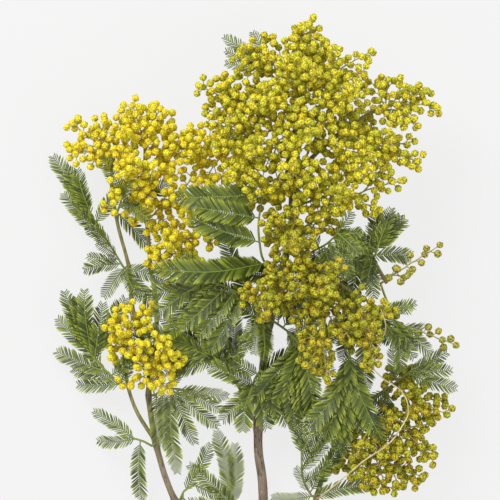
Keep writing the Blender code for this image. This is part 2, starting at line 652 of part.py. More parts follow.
def recentre():
    # Moves the meshes so that the origin is the middle of the underside of the whole sprig
    objects = [o for o in bpy.context.scene.objects if o.type == "MESH"]
    corners = [v.co for o in objects for v in o.data.vertices]
    low = Vector([min(c[i] for c in corners) for i in range(3)])
    high = Vector([max(c[i] for c in corners) for i in range(3)])
    shift = Vector(((low.x + high.x) / 2, (low.y + high.y) / 2, low.z))
    for o in objects:
        for v in o.data.vertices:
            v.co -= shift
        o.data.update()


def main():
    for o in list(bpy.data.objects):
        bpy.data.objects.remove(o)
    room = Room()
    curves = stem_curves()
    places = stem_places(curves, room)
    root, tip, route = DRIED_RACHIS
    dried = along(root_on_stem(places, route, root), DRIED_STEP)
    for a, b in zip(dried[1:], dried[2:]):
        for share in (0.0, 0.25, 0.5, 0.75):
            room.add(a.lerp(b, share), root, "dried_rachis")
    leaves = lay_leaves(room, places)
    sprays = lay_sprays(room, places)
    build_stems(curves)
    for name, (colour, axis, racemes) in sprays.items():
        build_spray(name, colour, axis, racemes)
    for name, (size, rachis, blades) in leaves.items():
        build_leaf(name, size, rachis, blades)
    radii = [root + (tip - root) * i / (len(dried) - 1) for i in range(len(dried))]
    rachis = make_object("dried_rachis", lambda bm: add_tube(bm, dried, radii, THIN_SIDES), bpy.context.scene.collection)
    rachis.data.materials.append(material("dry"))
    recentre()


main()
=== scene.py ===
# A cut mimosa sprig lying on a pale floor. Routes are in millimetres from the middle of the picture.
import math
import random
import bmesh
import bpy
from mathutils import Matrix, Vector


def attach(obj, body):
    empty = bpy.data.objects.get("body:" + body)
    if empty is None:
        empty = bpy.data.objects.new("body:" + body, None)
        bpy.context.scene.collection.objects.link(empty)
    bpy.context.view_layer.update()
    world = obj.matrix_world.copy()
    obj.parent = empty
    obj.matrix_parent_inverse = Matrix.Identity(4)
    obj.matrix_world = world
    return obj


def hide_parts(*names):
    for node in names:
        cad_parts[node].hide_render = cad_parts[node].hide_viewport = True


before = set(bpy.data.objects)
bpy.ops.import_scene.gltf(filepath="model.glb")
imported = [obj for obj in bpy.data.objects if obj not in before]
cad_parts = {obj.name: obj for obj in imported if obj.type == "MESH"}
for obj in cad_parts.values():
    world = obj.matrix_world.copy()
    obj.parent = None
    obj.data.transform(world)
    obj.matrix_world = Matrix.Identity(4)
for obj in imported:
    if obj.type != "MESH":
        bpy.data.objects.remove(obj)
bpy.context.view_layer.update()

goldenAngle = math.radians(137.5)
mm = 0.001

space = {"rootGap": 0.3, "gap": 0.4, "cell": 7.0, "seed": 11}

flower = {
    "headRadius": 2.5, "pedicel": 5.0, "headSpacing": 2.15, "looseSpacing": 3.2, "longRaceme": 26,
    "axisRadius": 0.75, "racemeRadius": 0.6, "pedicelRadius": 0.32,
}

leaf = {"rachisRadius": 0.8, "leafletLength": 6.2, "sweep": 3.6, "cup": 0.22, "samples": (0.0, 0.33, 0.66, 1.0)}

# how the frame was laid out, in mm, shares and radians
laying = {
    "headGap": 0.1, "rootLength": 2.5, "bends": 17, "bendTurn": 2.4, "bendStep": 0.5, "bendRise": 0.6,
    "bendWave": 1.7, "axisStep": 12, "axisTests": 24, "freeTests": 4, "stemStep": 24, "mainStemStep": 20,
    "ribStep": 2.4, "ribArch": 0.07, "ribBend": 0.05, "bladeLean": 0.35, "lowestTip": 1.2, "lowestArch": 1.6,
    "freeRoot": 3, "shortPinna": 0.45, "fullPinna": 75, "rootShare": 0.62, "rootRise": 2.2, "tipShare": 0.42,
    "tipRise": 2.3, "racemesFrom": 0.42, "racemesOver": 0.56, "racemeLean": 1.35, "racemeLeanLoss": 0.4,
    "lastLean": 0.2, "racemeTries": 10, "racemeTurn": 0.63, "racemeTests": 8, "lowestRaceme": 3,
    "sprayGuide": (0.5, -0.4, 0.8), "headGuide": (0.3, 0.5, 0.8), "headsFrom": 0.14, "headsOver": 0.72,
    "headsShare": 0.85, "headTries": 4, "headTurn": 0.9, "headForward": (0.45, 0.5), "pedicelTest": 0.35,
    "pedicelShares": (0.15, 0.3, 0.45), "turnSpread": 0.5, "placeStep": 2, "driedStep": 7,
}

# how a pinna finds its room: lifts tried, radius of a leaflet's test, lowest leaflet, cost of one that is lower,
# and the share of its leaflets that may touch something
pinnaRules = {
    "frame": {"lifts": (0, 3, -3, 6, -6, 9, -9, 13, -13, 17, 22), "radius": 0.9, "floor": 0.8, "cost": 1,
              "crossed": 0},
    "more": {"lifts": (0, 3, -3, 6, -6, 10, -10, 14), "radius": 0.5, "floor": 2.6, "cost": 4, "crossed": 0.2},
}

# stems: radius at the root, radius at the tip, route
stemRoutes = {
    "main": (3.6, 1.3, [
        (7, -285, 3.4), (7, -262, 3.4), (7, -225, 5), (8, -150, 12), (5, -120, 16), (6, -90, 21), (11, -48, 29),
        (21, -6, 35), (25, 13, 38), (25, 38, 41), (23, 49, 42), (29, 83, 45), (30, 114, 46), (31, 128, 46)]),
    "left": (2.3, 1.0, [
        (7, -236, 5), (-12, -205, 8), (-33, -172, 10), (-47, -149, 11), (-56, -122, 12), (-61, -94, 13),
        (-61, -80, 14), (-57, -54, 15), (-57, -30, 16), (-60, -12, 17), (-62, 12, 19), (-64, 36, 20),
        (-63, 62, 20)]),
    "right": (2.1, 1.0, [
        (7, -240, 5), (22, -208, 8), (34, -172, 10), (41, -148, 12), (47, -128, 14), (58, -108, 16), (72, -92, 18),
        (90, -80, 20)]),
    "left_upper": (1.3, 0.9, [
        (-60, -66, 14), (-68, -46, 15), (-72, -30, 15), (-73, -12, 15), (-80, 15, 16), (-84, 40, 17), (-82, 60, 17)]),
    "left_twig": (1.3, 0.9, [
        (-57, -116, 12), (-62, -109, 14), (-69, -97, 16), (-74, -82, 17), (-77, -60, 18)]),
    "low_twig": (1.3, 0.9, [(5, -106, 18), (-2, -96, 22), (-6, -84, 24), (-12, -74, 27)]),
    "front_shoot": (1.4, 0.9, [(20, -10, 34), (34, -8, 48), (50, -18, 60), (64, -28, 64)]),
    "right_shoot": (1.4, 0.9, [(24, 8, 37), (46, 12, 42), (68, 2, 44), (82, -20, 46)]),
    "high_right_shoot": (1.4, 0.9, [(25, 42, 41), (42, 60, 47), (62, 76, 50), (80, 86, 50)]),
    "high_left_shoot": (1.4, 0.9, [(26, 66, 43), (12, 80, 46), (-8, 90, 45)]),
}

# sprays: colour, reach of the racemes, number of racemes, route of the axis
sprayRoutes = {
    "spray_top": ("lime", 16, 6, [(30, 108, 48), (32, 116, 50), (34, 122, 52)]),
    "spray_top_left": ("lime", 21, 6, [(29, 96, 46), (18, 104, 54), (10, 109, 58)]),
    "spray_top_right": ("lime", 21, 5, [(30, 98, 46), (44, 104, 54), (54, 108, 56)]),
    "spray_top_front": ("lime", 21, 6, [(30, 102, 48), (32, 102, 64), (34, 104, 74)]),
    "spray_high_left": ("lime", 20, 5, [(-2, 88, 46), (-8, 88, 48), (-13, 90, 50)]),
    "spray_left_edge": ("lime", 21, 6, [(8, 80, 46), (-1, 72, 56), (-7, 70, 60)]),
    "spray_centre_high": ("lime", 21, 6, [(29, 86, 46), (18, 88, 64), (12, 88, 74)]),
    "spray_centre": ("lime", 21, 6, [(26, 64, 44), (16, 64, 64), (10, 64, 74)]),
    "spray_centre_front": ("lime", 21, 6, [(28, 74, 46), (31, 74, 66), (32, 74, 78)]),
    "spray_centre_right": ("lime", 21, 6, [(34, 54, 46), (48, 84, 62), (54, 90, 72)]),
    "spray_centre_low": ("lime", 21, 5, [(24, 44, 42), (24, 46, 64), (24, 46, 76)]),
    "spray_left_low": ("lime", 18, 4, [(25, 36, 41), (8, 40, 56), (0, 42, 62)]),
    "spray_high_right": ("lime", 20, 6, [(74, 83, 50), (84, 86, 52), (90, 87, 53)]),
    "spray_right_edge": ("lime", 21, 6, [(58, 73, 49), (74, 64, 56), (82, 60, 58)]),
    "spray_right_front": ("lime", 21, 6, [(46, 63, 47), (54, 60, 64), (58, 58, 74)]),
    "spray_right_low": ("lime", 21, 5, [(32, 9, 39), (58, 30, 54), (70, 36, 58)]),
    "spray_right_low_front": ("lime", 21, 6, [(25, 26, 40), (44, 32, 60), (50, 34, 72)]),
    "spray_back_top": ("lime", 18, 3, [(30, 104, 45), (34, 108, 28), (36, 110, 20)]),
    "spray_back_right": ("lime", 18, 3, [(52, 68, 48), (60, 74, 28), (64, 76, 20)]),
    "spray_back_left": ("yellow", 20, 4, [(16, 72, 44), (-4, 66, 30), (-14, 62, 24)]),
    "spray_front_left": ("yellow", 20, 6, [(17, -20, 34), (14, -26, 54), (12, -28, 66)]),
    "spray_front_high": ("yellow", 21, 6, [(25, 12, 38), (24, 8, 60), (24, 8, 74)]),
    "spray_front_mid": ("yellow", 20, 6, [(38, -11, 50), (38, -16, 66), (39, -18, 78)]),
    "spray_front_low": ("yellow", 21, 6, [(50, -18, 60), (46, -40, 72), (45, -54, 74)]),
    "spray_front_right": ("yellow", 21, 6, [(62, -27, 64), (68, -38, 72), (68, -48, 76)]),
    "spray_right_twig": ("olive", 28, 2, [(81, -16, 46), (85, -15, 48), (90, -12, 50)]),
    "spray_right_lower_twig": ("olive", 29, 2, [(82, -20, 46), (88, -44, 46), (97, -47, 46)]),
    "spray_left_top": ("yellow", 21, 6, [(-63, 56, 20), (-64, 66, 28), (-66, 72, 32)]),
    "spray_left_far": ("yellow", 20, 5, [(-82, 52, 17), (-88, 60, 24), (-92, 64, 26)]),
    "spray_left_right": ("yellow", 22, 6, [(-63, 48, 20), (-48, 60, 32), (-38, 64, 36)]),
    "spray_left_front": ("yellow", 21, 6, [(-64, 38, 20), (-68, 44, 36), (-70, 46, 44)]),
    "spray_left_mid": ("yellow", 21, 6, [(-62, 20, 20), (-48, 28, 32), (-38, 32, 38)]),
    "spray_left_under": ("yellow", 20, 4, [(-60, -10, 18), (-50, 0, 28), (-44, 4, 32)]),
    "spray_lower_left_top": ("yellow", 17, 5, [(-77, -62, 18), (-74, -52, 28), (-72, -46, 32)]),
    "spray_lower_left": ("yellow", 20, 6, [(-61, -78, 15), (-58, -72, 30), (-55, -64, 38)]),
    "spray_lower_right_top": ("yellow", 21, 5, [(88, -81, 20), (96, -88, 28), (100, -90, 30)]),
    "spray_lower_right": ("yellow", 20, 6, [(76, -90, 18), (90, -106, 32), (96, -112, 34)]),
    "spray_lower_right_inner": ("yellow", 21, 4, [(64, -101, 17), (70, -106, 34), (72, -108, 40)]),
    "spray_lower_right_low": ("yellow", 20, 6, [(52, -118, 15), (76, -126, 26), (86, -130, 28)]),
}

# leaves: size of the leaflets, route of the rachis, then each pinna as a place on it and a tip
leafRoutes = {
    "leaf_mid_upper": (1.3, [(19, -16, 34), (8, -6, 50), (5, 14, 58), (8, 34, 58)], [
        (0.98, (-42, 31, 58)), (0.75, (-30, 25, 66)), (0.52, (-34, 19, 62)), (0.3, (-55, -12, 62)),
        (0.16, (-24, -12, 54))]),
    "leaf_mid_lower": (1.0, [(12, -44, 30), (0, -30, 44), (-14, -22, 50), (-28, -18, 50)], [
        (1.0, (-62, -26, 44)), (0.95, (-49, -52, 40)), (0.66, (-23, -60, 46)), (0.4, (-4, -60, 50)),
        (0.8, (-40, -46, 50)), (0.5, (-40, -2, 52)),
        (0.25, (8, -66, 56))]),
    "leaf_low_mid": (1.0, [(-11, -75, 27), (-20, -66, 34), (-30, -58, 36)], [
        (1.0, (-70, -44, 34)), (0.9, (-50, -58, 30)), (0.7, (-50, -74, 26)), (0.5, (-38, -36, 40)),
        (0.35, (-2, -50, 42))]),
    "leaf_low_left": (0.9, [(-61, -88, 13), (-52, -84, 20), (-42, -84, 24)], [
        (1.0, (-14, -88, 28)), (0.8, (-44, -134, 16)), (0.9, (-20, -106, 22)), (0.4, (-56, -118, 22))]),
    "leaf_bottom_left": (0.9, [(-57, -119, 12), (-64, -116, 18), (-70, -114, 20)], [
        (1.0, (-94, -98, 14)), (0.8, (-66, -152, 6)), (0.95, (-92, -116, 8))]),
    "leaf_left_base": (0.9, [(-45, -152, 11), (-40, -146, 18), (-34, -142, 20)], [
        (1.0, (-12, -152, 14)), (0.7, (-24, -118, 20)), (0.6, (-40, -182, 8))]),
    "leaf_left_lower": (1.0, [(-74, -83, 17), (-84, -76, 20), (-94, -66, 22), (-97, -58, 24)], [
        (1.0, (-112, -26, 20)), (0.95, (-100, -25, 28)), (0.75, (-89, -33, 26)), (0.85, (-116, -42, 14)),
        (0.55, (-117, -62, 8)), (0.3, (-104, -82, 6))]),
    "leaf_left_upper": (1.0, [(-74, -10, 15), (-84, 2, 20), (-92, 14, 22), (-98, 26, 22)], [
        (1.0, (-119, 56, 14)), (0.85, (-113, 34, 8)), (0.95, (-104, 48, 30)), (0.6, (-104, 22, 30)),
        (0.4, (-92, 4, 34)), (0.3, (-100, -12, 12)), (0.2, (-66, -30, 34))]),
    "leaf_left_inner": (1.0, [(-82, 22, 16), (-78, 28, 34), (-76, 34, 44)], [
        (1.0, (-88, 54, 52)), (0.7, (-60, 18, 50))]),
    "leaf_top_left": (0.9, [(29, 92, 45), (16, 102, 42), (4, 112, 44)], [
        (1.0, (-15, 127, 46)), (0.8, (2, 130, 40)), (0.85, (-14, 112, 38))]),
    "leaf_right_mid": (1.0, [(32, -8, 45), (46, 4, 62), (52, 10, 70)], [
        (1.0, (64, -2, 78)), (0.8, (60, -16, 72)), (0.95, (60, 22, 68)), (0.6, (49, -24, 66))]),
    "leaf_right_feather": (1.1, [(70, 0, 44), (74, -4, 52), (76, 2, 58)], [
        (1.0, (84, 24, 58)), (0.9, (92, 18, 52)), (0.5, (74, -28, 54)), (0.8, (64, 10, 54))]),
    "leaf_right_low": (1.0, [(62, -26, 62), (76, -34, 54), (88, -44, 50)], [
        (1.0, (108, -62, 40)), (0.8, (98, -32, 56)), (0.95, (90, -72, 44)), (0.6, (72, -66, 48))]),
    "leaf_right_pale": (1.0, [(82, -85, 20), (90, -78, 34), (97, -72, 40)], [
        (0.9, (123, -83, 36)), (1.0, (118, -62, 32)), (0.6, (86, -60, 30))]),
    "leaf_centre_bottom": (1.1, [(13, -42, 30), (24, -50, 44), (31, -58, 50)], [
        (0.85, (27, -106, 38)), (1.0, (38, -99, 42)), (0.6, (48, -72, 50))]),
    "leaf_centre_left": (1.2, [(6, -88, 22), (2, -80, 34), (6, -72, 40)], [
        (0.9, (22, -104, 42)), (1.0, (24, -84, 46)), (0.6, (-16, -102, 28)), (0.9, (-10, -66, 44))]),
    "leaf_hanging": (1.15, [(56, -22, 61), (60, -50, 56), (58, -72, 52)], [
        (1.0, (54, -122, 36)), (0.95, (45, -112, 40)), (0.8, (68, -108, 44))]),
    "leaf_stem": (0.9, [(8, -168, 11), (-4, -164, 16), (-13, -150, 20)], [
        (1.0, (-20, -110, 20)), (0.8, (-36, -130, 14)), (0.9, (-9, -118, 24)), (0.5, (-28, -176, 8)),
        (0.6, (-36, -152, 12))]),
    "leaf_right_base": (0.9, [(40, -150, 12), (32, -138, 22), (31, -122, 30)], [
        (1.0, (22, -96, 34)), (0.95, (42, -100, 32)), (0.6, (50, -128, 30)), (0.3, (14, -150, 18))]),
}

# the bare dried rachis: radius at the root and tip, route
driedRoute = (0.5, 0.32, [
    (41, -150, 12), (46, -146, 26), (56, -137, 40), (68, -126, 50), (82, -116, 58), (89, -107, 62), (94, -97, 64),
    (93, -89, 66), (89, -83, 68), (80, -77, 72), (73, -70, 76), (72, -64, 78), (75, -58, 80), (80, -46, 84),
    (77, -35, 88)])


def unit(vector):
    return vector.normalized() if vector.length > 1e-6 else Vector((0, 0, 1))


def across(vector, direction):
    return vector - direction * vector.dot(direction)


def crossPair(way, guide):
    side = unit(across(Vector(guide), way))
    return side, way.cross(side)


def sideways(draw, most=1.0):
    # a random step that stays level
    return Vector((draw.uniform(-most, most), draw.uniform(-most, most), 0))


def along(points, step):
    # a smooth curve through the route's points, with a point about every step millimetres
    route = [Vector(p) for p in points]
    route = [route[0] * 2 - route[1]] + route + [route[-1] * 2 - route[-2]]
    curve = []
    for a, b, c, d in zip(route, route[1:], route[2:], route[3:]):
        count = max(1, round((c - b).length / step))
        for i in range(count):
            t = i / count
            curve.append(0.5 * (2 * b + (c - a) * t + (2 * a - 5 * b + 4 * c - d) * t ** 2
                                + (3 * b - a - 3 * c + d) * t ** 3))
    return curve + [route[-2]]


def placeOn(curve, fraction):
    position = fraction * (len(curve) - 1)
    i = min(int(position), len(curve) - 2)
    return curve[i].lerp(curve[i + 1], position - i)


class Room:
    # remembers the space that is taken, as small spheres in a grid of cells
    def __init__(self):
        self.cells = {}

    def cell(self, point):
        return tuple(int(c // space["cell"]) for c in point)

    def add(self, point, radius, owner, isHead=False):
        self.cells.setdefault(self.cell(point), []).append((point, radius, owner, isHead))

    def crossings(self, point, radius, owner, isHead=False):
        found = 0
        x, y, z = self.cell(point)
        for key in ((x + i, y + j, z + k) for i in (-1, 0, 1) for j in (-1, 0, 1) for k in (-1, 0, 1)):
            for other, size, name, otherHead in self.cells.get(key, ()):
                if name == owner and not (isHead and otherHead):
                    continue
                gap = laying["headGap"] if name == owner else space["gap"]
                found += (other - point).length < radius + size + gap
        return found


def rootOnStem(places, route, radius):
    # starts a route just outside the nearest stem, and leaves it at a right angle
    first, second = Vector(route[0]), Vector(route[1])
    centre, size, tangent = min(places, key=lambda entry: (entry[0] - first).length)
    outward = unit(across(second - centre, tangent))
    start = centre + outward * (size + space["rootGap"])
    return [start, start + outward * laying["rootLength"] * radius] + [Vector(p) for p in route[1:]]


def clearAxis(room, name, route, radius):
    # bends a route a little, the least that keeps it clear of what is there, and takes its space
    best = None
    tests = laying["axisTests"]
    for turn in range(laying["bends"]):
        way = turn * laying["bendTurn"]
        rise = laying["bendRise"] * math.sin(turn * laying["bendWave"])
        bend = Vector((math.cos(way), math.sin(way), rise)) * (laying["bendStep"] * turn)
        axis = along(route[:2] + [p + bend for p in route[2:]], laying["axisStep"])
        tested = (placeOn(axis, k / tests) for k in range(laying["freeTests"], tests + 1))
        hits = sum(room.crossings(p, radius, name) for p in tested)
        if best is None or hits < best[0]:
            best = (hits, axis)
        if hits == 0:
            break
    for k in range(1, tests + 1):
        room.add(placeOn(best[1], k / tests), radius, name)
    return best[1]


def stemPlaces(room):
    # points all along the stems, with radius and direction there
    places = []
    for name, (root, tip, route) in stemRoutes.items():
        curve = along(route, laying["mainStemStep" if name == "main" else "stemStep"])
        for i, (a, b) in enumerate(zip(curve, curve[1:])):
            size = root + (tip - root) * i / (len(curve) - 1)
            tangent = unit(b - a)
            count = max(2, round((b - a).length / laying["placeStep"]))
            for k in range(count):
                point = a.lerp(b, k / count)
                places.append((point, size, tangent))
                room.add(point, size, "woody_stem")
    return places


def layPinna(base, tip, lift, bend):
    # the rib of one pinna, an arch from base to tip
    length = (tip - base).length
    top = base.lerp(tip, 0.5) + Vector((0, 0, laying["ribArch"] * length)) + bend * laying["ribBend"] * length
    end = Vector((tip.x, tip.y, max(laying["lowestTip"], tip.z + lift)))
    top.z = max(laying["lowestArch"], top.z + lift * 0.5)
    return along([base, top, end], laying["ribStep"])


def bladeFrame(rib, i, lean):
    tangent = unit(rib[min(i + 1, len(rib) - 1)] - rib[max(i - 1, 0)])
    facing = unit(across(Vector((lean.x, lean.y, 1.0)), tangent))
    return tangent, facing, tangent.cross(facing)


def leafletReach(fraction, length, size):
    # leaflets shorten towards both ends of a pinna, and on a short pinna
    full = leaf["leafletLength"] * size * min(1.0, laying["shortPinna"] + length / laying["fullPinna"])
    full *= min(1.0, laying["rootShare"] + laying["rootRise"] * fraction)
    return full * min(1.0, laying["tipShare"] + laying["tipRise"] * (1 - fraction))


def bladeSamples(rib, lean, size):
    length = sum((b - a).length for a, b in zip(rib, rib[1:]))
    samples = []
    for i in range(1, len(rib)):
        tangent, facing, side = bladeFrame(rib, i, lean)
        reach = leafletReach(i / (len(rib) - 1), length, size)
        for share in leaf["samples"]:
            for way in (-1, 1):
                out = side * (way * reach * share) + tangent * (leaf["sweep"] * share)
                samples.append(rib[i] + out + facing * (reach * share * leaf["cup"]))
    return samples


def addPinna(rule, name, size, blades, base, end, bend, lean):
    # the clearest of several arches from base to end joins the leaf, if it is clear enough
    best = None
    for lift in rule["lifts"]:
        rib = layPinna(base, end, lift, bend)
        samples = bladeSamples(rib, lean, size)
        hits = rule["cost"] * sum(p.z < rule["floor"] for p in samples)
        hits += sum(room.crossings(p, rule["radius"], name) for p in samples
                    if (p - base).length > laying["freeRoot"])
        if best is None or hits < best[0]:
            best = (hits, rib, samples)
        if hits == 0:
            break
    hits, rib, samples = best
    if hits > rule["crossed"] * len(samples):
        return False
    blades.append((rib, lean))
    for point in samples:
        room.add(point, rule["radius"], name)
    return True


def layLeaves(room, places):
    leaves = {}
    draw = random.Random(space["seed"])
    for name, (size, route, pinnae) in leafRoutes.items():
        rachis = clearAxis(room, name, rootOnStem(places, route, leaf["rachisRadius"]), leaf["rachisRadius"])
        blades = []
        for fraction, tip in pinnae:
            base = placeOn(rachis, fraction)
            lean = sideways(draw, laying["bladeLean"])
            addPinna(pinnaRules["frame"], name, size, blades, base, Vector(tip), sideways(draw), lean)
        leaves[name] = (size, rachis, blades)
    return leaves


def layRaceme(room, name, foot, direction, reach, turn):
    # one raceme: its axis, which ends in a head, and the feet and centres of the heads along it
    tip = foot + direction * reach
    lowest = flower["headRadius"] + 0.5 * laying["headGap"]
    tip.z = max(tip.z, lowest)
    axis = [foot, tip]
    if room.crossings(tip, flower["headRadius"], name, True):
        return axis, [], True
    spacing = flower["looseSpacing" if reach > flower["longRaceme"] else "headSpacing"]
    count = max(3, round(laying["headsShare"] * reach / spacing))
    side, other = crossPair(direction, laying["headGuide"])
    forward, gained = laying["headForward"]
    apart = 2 * flower["headRadius"] + laying["headGap"]
    heads = [(None, tip)]
    for i in range(count):
        start = placeOn(axis, laying["headsFrom"] + laying["headsOver"] * i / (count - 1))
        for attempt in range(laying["headTries"]):
            angle = turn + i * goldenAngle + attempt * laying["headTurn"]
            ahead = direction * (forward + gained * i / (count - 1))
            centre = start + unit(side * math.cos(angle) + other * math.sin(angle) + ahead) * flower["pedicel"]
            centre.z = max(centre.z, lowest)
            taken = room.crossings(centre, flower["headRadius"], name, True)
            taken += sum((known - centre).length < apart for root, known in heads)
            test = start.lerp(centre, laying["pedicelTest"])
            if not taken and not room.crossings(test, flower["pedicelRadius"], name):
                heads.append((start, centre))
                break
    tests = laying["racemeTests"]
    tested = (placeOn(axis, k / tests) for k in range(1, tests))
    return axis, heads, sum(room.crossings(p, flower["racemeRadius"], name) for p in tested)


def laySprays(room, places):
    sprays = {}
    draw = random.Random(space["seed"] + 1)
    tests, spread = laying["racemeTests"], laying["turnSpread"]
    for name, (colour, reach, number, route) in sprayRoutes.items():
        axis = clearAxis(room, name, rootOnStem(places, route, flower["axisRadius"]), flower["axisRadius"])
        racemes = []
        for j in range(number):
            last = j == number - 1
            fraction = 1.0 if last else laying["racemesFrom"] + laying["racemesOver"] * j / (number - 1)
            lean = laying["lastLean"] if last else laying["racemeLean"] - laying["racemeLeanLoss"] * j / number
            foot = placeOn(axis, fraction)
            forward = unit(axis[-1] - axis[-2])
            side, other = crossPair(forward, laying["sprayGuide"])
            best = None
            for attempt in range(laying["racemeTries"]):
                turn = j * goldenAngle + draw.uniform(-spread, spread) + attempt * laying["racemeTurn"]
                direction = unit(forward + (side * math.cos(turn) + other * math.sin(turn)) * lean)
                if foot.z + direction.z * reach < laying["lowestRaceme"]:
                    direction = unit(Vector((direction.x, direction.y, (laying["lowestRaceme"] - foot.z) / reach)))
                racemeAxis, heads, blocked = layRaceme(room, name, foot, direction, reach, turn)
                if not blocked and (best is None or len(heads) > len(best[1])):
                    best = (racemeAxis, heads)
            if best is None:
                print("no room for a raceme", name, j)
                continue
            racemes.append(best)
            for k in range(1, tests + 1):
                room.add(placeOn(best[0], k / tests), flower["racemeRadius"], name)
            for start, centre in best[1]:
                room.add(centre, flower["headRadius"], name, True)
                for share in laying["pedicelShares"] if start else ():
                    room.add(start.lerp(centre, share), flower["pedicelRadius"], name)
        sprays[name] = (colour, axis, racemes)
    return sprays


# where everything is, as laid out for the frame
room = Room()
places = stemPlaces(room)
driedRoot, driedTip, driedPoints = driedRoute
dried = along(rootOnStem(places, driedPoints, driedRoot), laying["driedStep"])
for a, b in zip(dried[1:], dried[2:]):
    for share in (0.0, 0.25, 0.5, 0.75):
        room.add(a.lerp(b, share), driedRoot, "dried_rachis")
leaves = layLeaves(room, places)
sprays = laySprays(room, places)
print("laid out", len(sprays), "sprays and", len(leaves), "leaves")

# more heads and pinnae of the same kind, between those of the frame
dense = {
    "seed": 29, "racemes": {"lime": 3, "yellow": 5}, "racemeTries": 40, "racemeFrom": (0.3, 1.0),
    "racemeReach": (0.6, 1.02), "forward": 0.55, "tries": 48, "headFrom": (0.16, 0.97), "headForward": (0.15, 0.9),
    "headRoom": 2.25, "stalk": (3.8, 6.4), "lowest": 2.6,
    "pinnaSteps": {True: (0.34, 0.67), False: (0.5,)}, "bigLeaf": 1.05, "pinnaReach": (0.82, 1.0), "spread": 0.35,
    "open": ("leaf_mid_upper", "leaf_stem", "leaf_left_base", "leaf_bottom_left"),
    "behind": {"leaf_centre_bottom": 5, "leaf_right_mid": 5, "leaf_right_feather": 4, "leaf_right_low": 3,
               "leaf_mid_lower": 4, "leaf_low_mid": 1, "leaf_hanging": 3},
    "behindTries": 8, "behindShift": 0.2, "behindReach": (0.75, 1.0), "turn": 0.75, "drop": (3, 16),
}

# tips of racemes between those of the frame
moreRacemes = {
    "spray_left_mid": [(-30, 22, 30), (-28, 12, 28), (-44, 12, 30), (-54, 12, 26), (-36, 4, 28), (-40, 22, 24),
                       (-18, 26, 38), (-16, 14, 32), (-24, 2, 30), (-22, 34, 44)],
    "spray_left_under": [(-52, -12, 28), (-40, -16, 26), (-36, -26, 24), (-60, -4, 26), (-58, 8, 28), (-34, -8, 30)],
    "spray_left_front": [(-84, 34, 34), (-88, 24, 26), (-78, 20, 28), (-70, 16, 26), (-60, 24, 34), (-56, 40, 44)],
    "spray_left_far": [(-106, 46, 20), (-100, 40, 24), (-96, 50, 34)],
    "spray_left_right": [(-26, 62, 30), (-24, 50, 32), (-34, 46, 34), (-46, 44, 34), (-54, 62, 44)],
    "spray_left_top": [(-74, 58, 36), (-52, 72, 38), (-58, 60, 40)],
    "spray_back_left": [(-26, 44, 28), (-18, 36, 34), (-26, 32, 40), (-10, 46, 34)],
    "spray_left_low": [(-12, 30, 44), (-4, 24, 46), (-8, 14, 40), (-14, 40, 54)],
    "spray_lower_left": [(-38, -62, 30), (-36, -72, 28), (-46, -80, 28), (-68, -80, 26), (-34, -58, 32),
                         (-48, -50, 34)],
    "spray_lower_left_top": [(-84, -60, 28), (-60, -36, 30), (-56, -44, 34), (-80, -72, 24), (-66, -56, 36)],
    "spray_lower_right_inner": [(60, -96, 30), (58, -112, 30), (78, -94, 34), (64, -116, 34)],
    "spray_lower_right_low": [(66, -128, 26), (64, -138, 18), (80, -142, 18), (100, -138, 20)],
    "spray_lower_right_top": [(82, -76, 30), (108, -100, 26), (116, -98, 30), (92, -98, 36)],
    "spray_lower_right": [(84, -116, 36), (104, -120, 30), (82, -104, 30)],
    "spray_front_mid": [(26, -20, 60), (30, -30, 62)],
    "spray_front_low": [(34, -48, 62), (56, -56, 62), (40, -66, 58)],
}


def addRaceme(name, racemes, foot, tip, draw):
    # one more raceme, if its tip finds room, with those of its heads that find room
    if tip.z < dense["lowest"] or room.crossings(tip, dense["headRoom"], name, True):
        return False
    racemes.append(([foot, tip], [(None, tip)]))
    room.add(tip, flower["headRadius"], name, True)
    fillRaceme(name, racemes[-1], draw)
    return True


def fillRaceme(name, raceme, draw):
    (foot, tip), heads = raceme
    way = unit(tip - foot)
    side, other = crossPair(way, laying["headGuide"])
    for attempt in range(dense["tries"]):
        start = foot.lerp(tip, draw.uniform(*dense["headFrom"]))
        angle = draw.uniform(0, 2 * math.pi)
        out = unit(side * math.cos(angle) + other * math.sin(angle) + way * draw.uniform(*dense["headForward"]))
        centre = start + out * draw.uniform(*dense["stalk"])
        if centre.z >= dense["lowest"] and not room.crossings(centre, dense["headRoom"], name, True):
            heads.append((start, centre))
            room.add(centre, flower["headRadius"], name, True)


def thickenSprays():
    draw = random.Random(dense["seed"])
    for name, (colour, axis, racemes) in sprays.items():
        if colour == "olive":
            continue
        for raceme in racemes:
            fillRaceme(name, raceme, draw)
        wanted = dense["racemes"][colour]
        for attempt in range(dense["racemeTries"]):
            if not wanted:
                break
            foot = placeOn(axis, draw.uniform(*dense["racemeFrom"]))
            spread = Vector((draw.uniform(-1, 1), draw.uniform(-1, 1), draw.uniform(-0.8, 1)))
            way = unit(unit(axis[-1] - axis[-2]) * dense["forward"] + unit(spread))
            tip = foot + way * sprayRoutes[name][1] * draw.uniform(*dense["racemeReach"])
            wanted -= addRaceme(name, racemes, foot, tip, draw)
        for tip in map(Vector, moreRacemes.get(name, ())):
            foot = min((placeOn(axis, k / 10) for k in range(2, 11)), key=lambda p: (p - tip).length)
            addRaceme(name, racemes, foot, tip, draw)


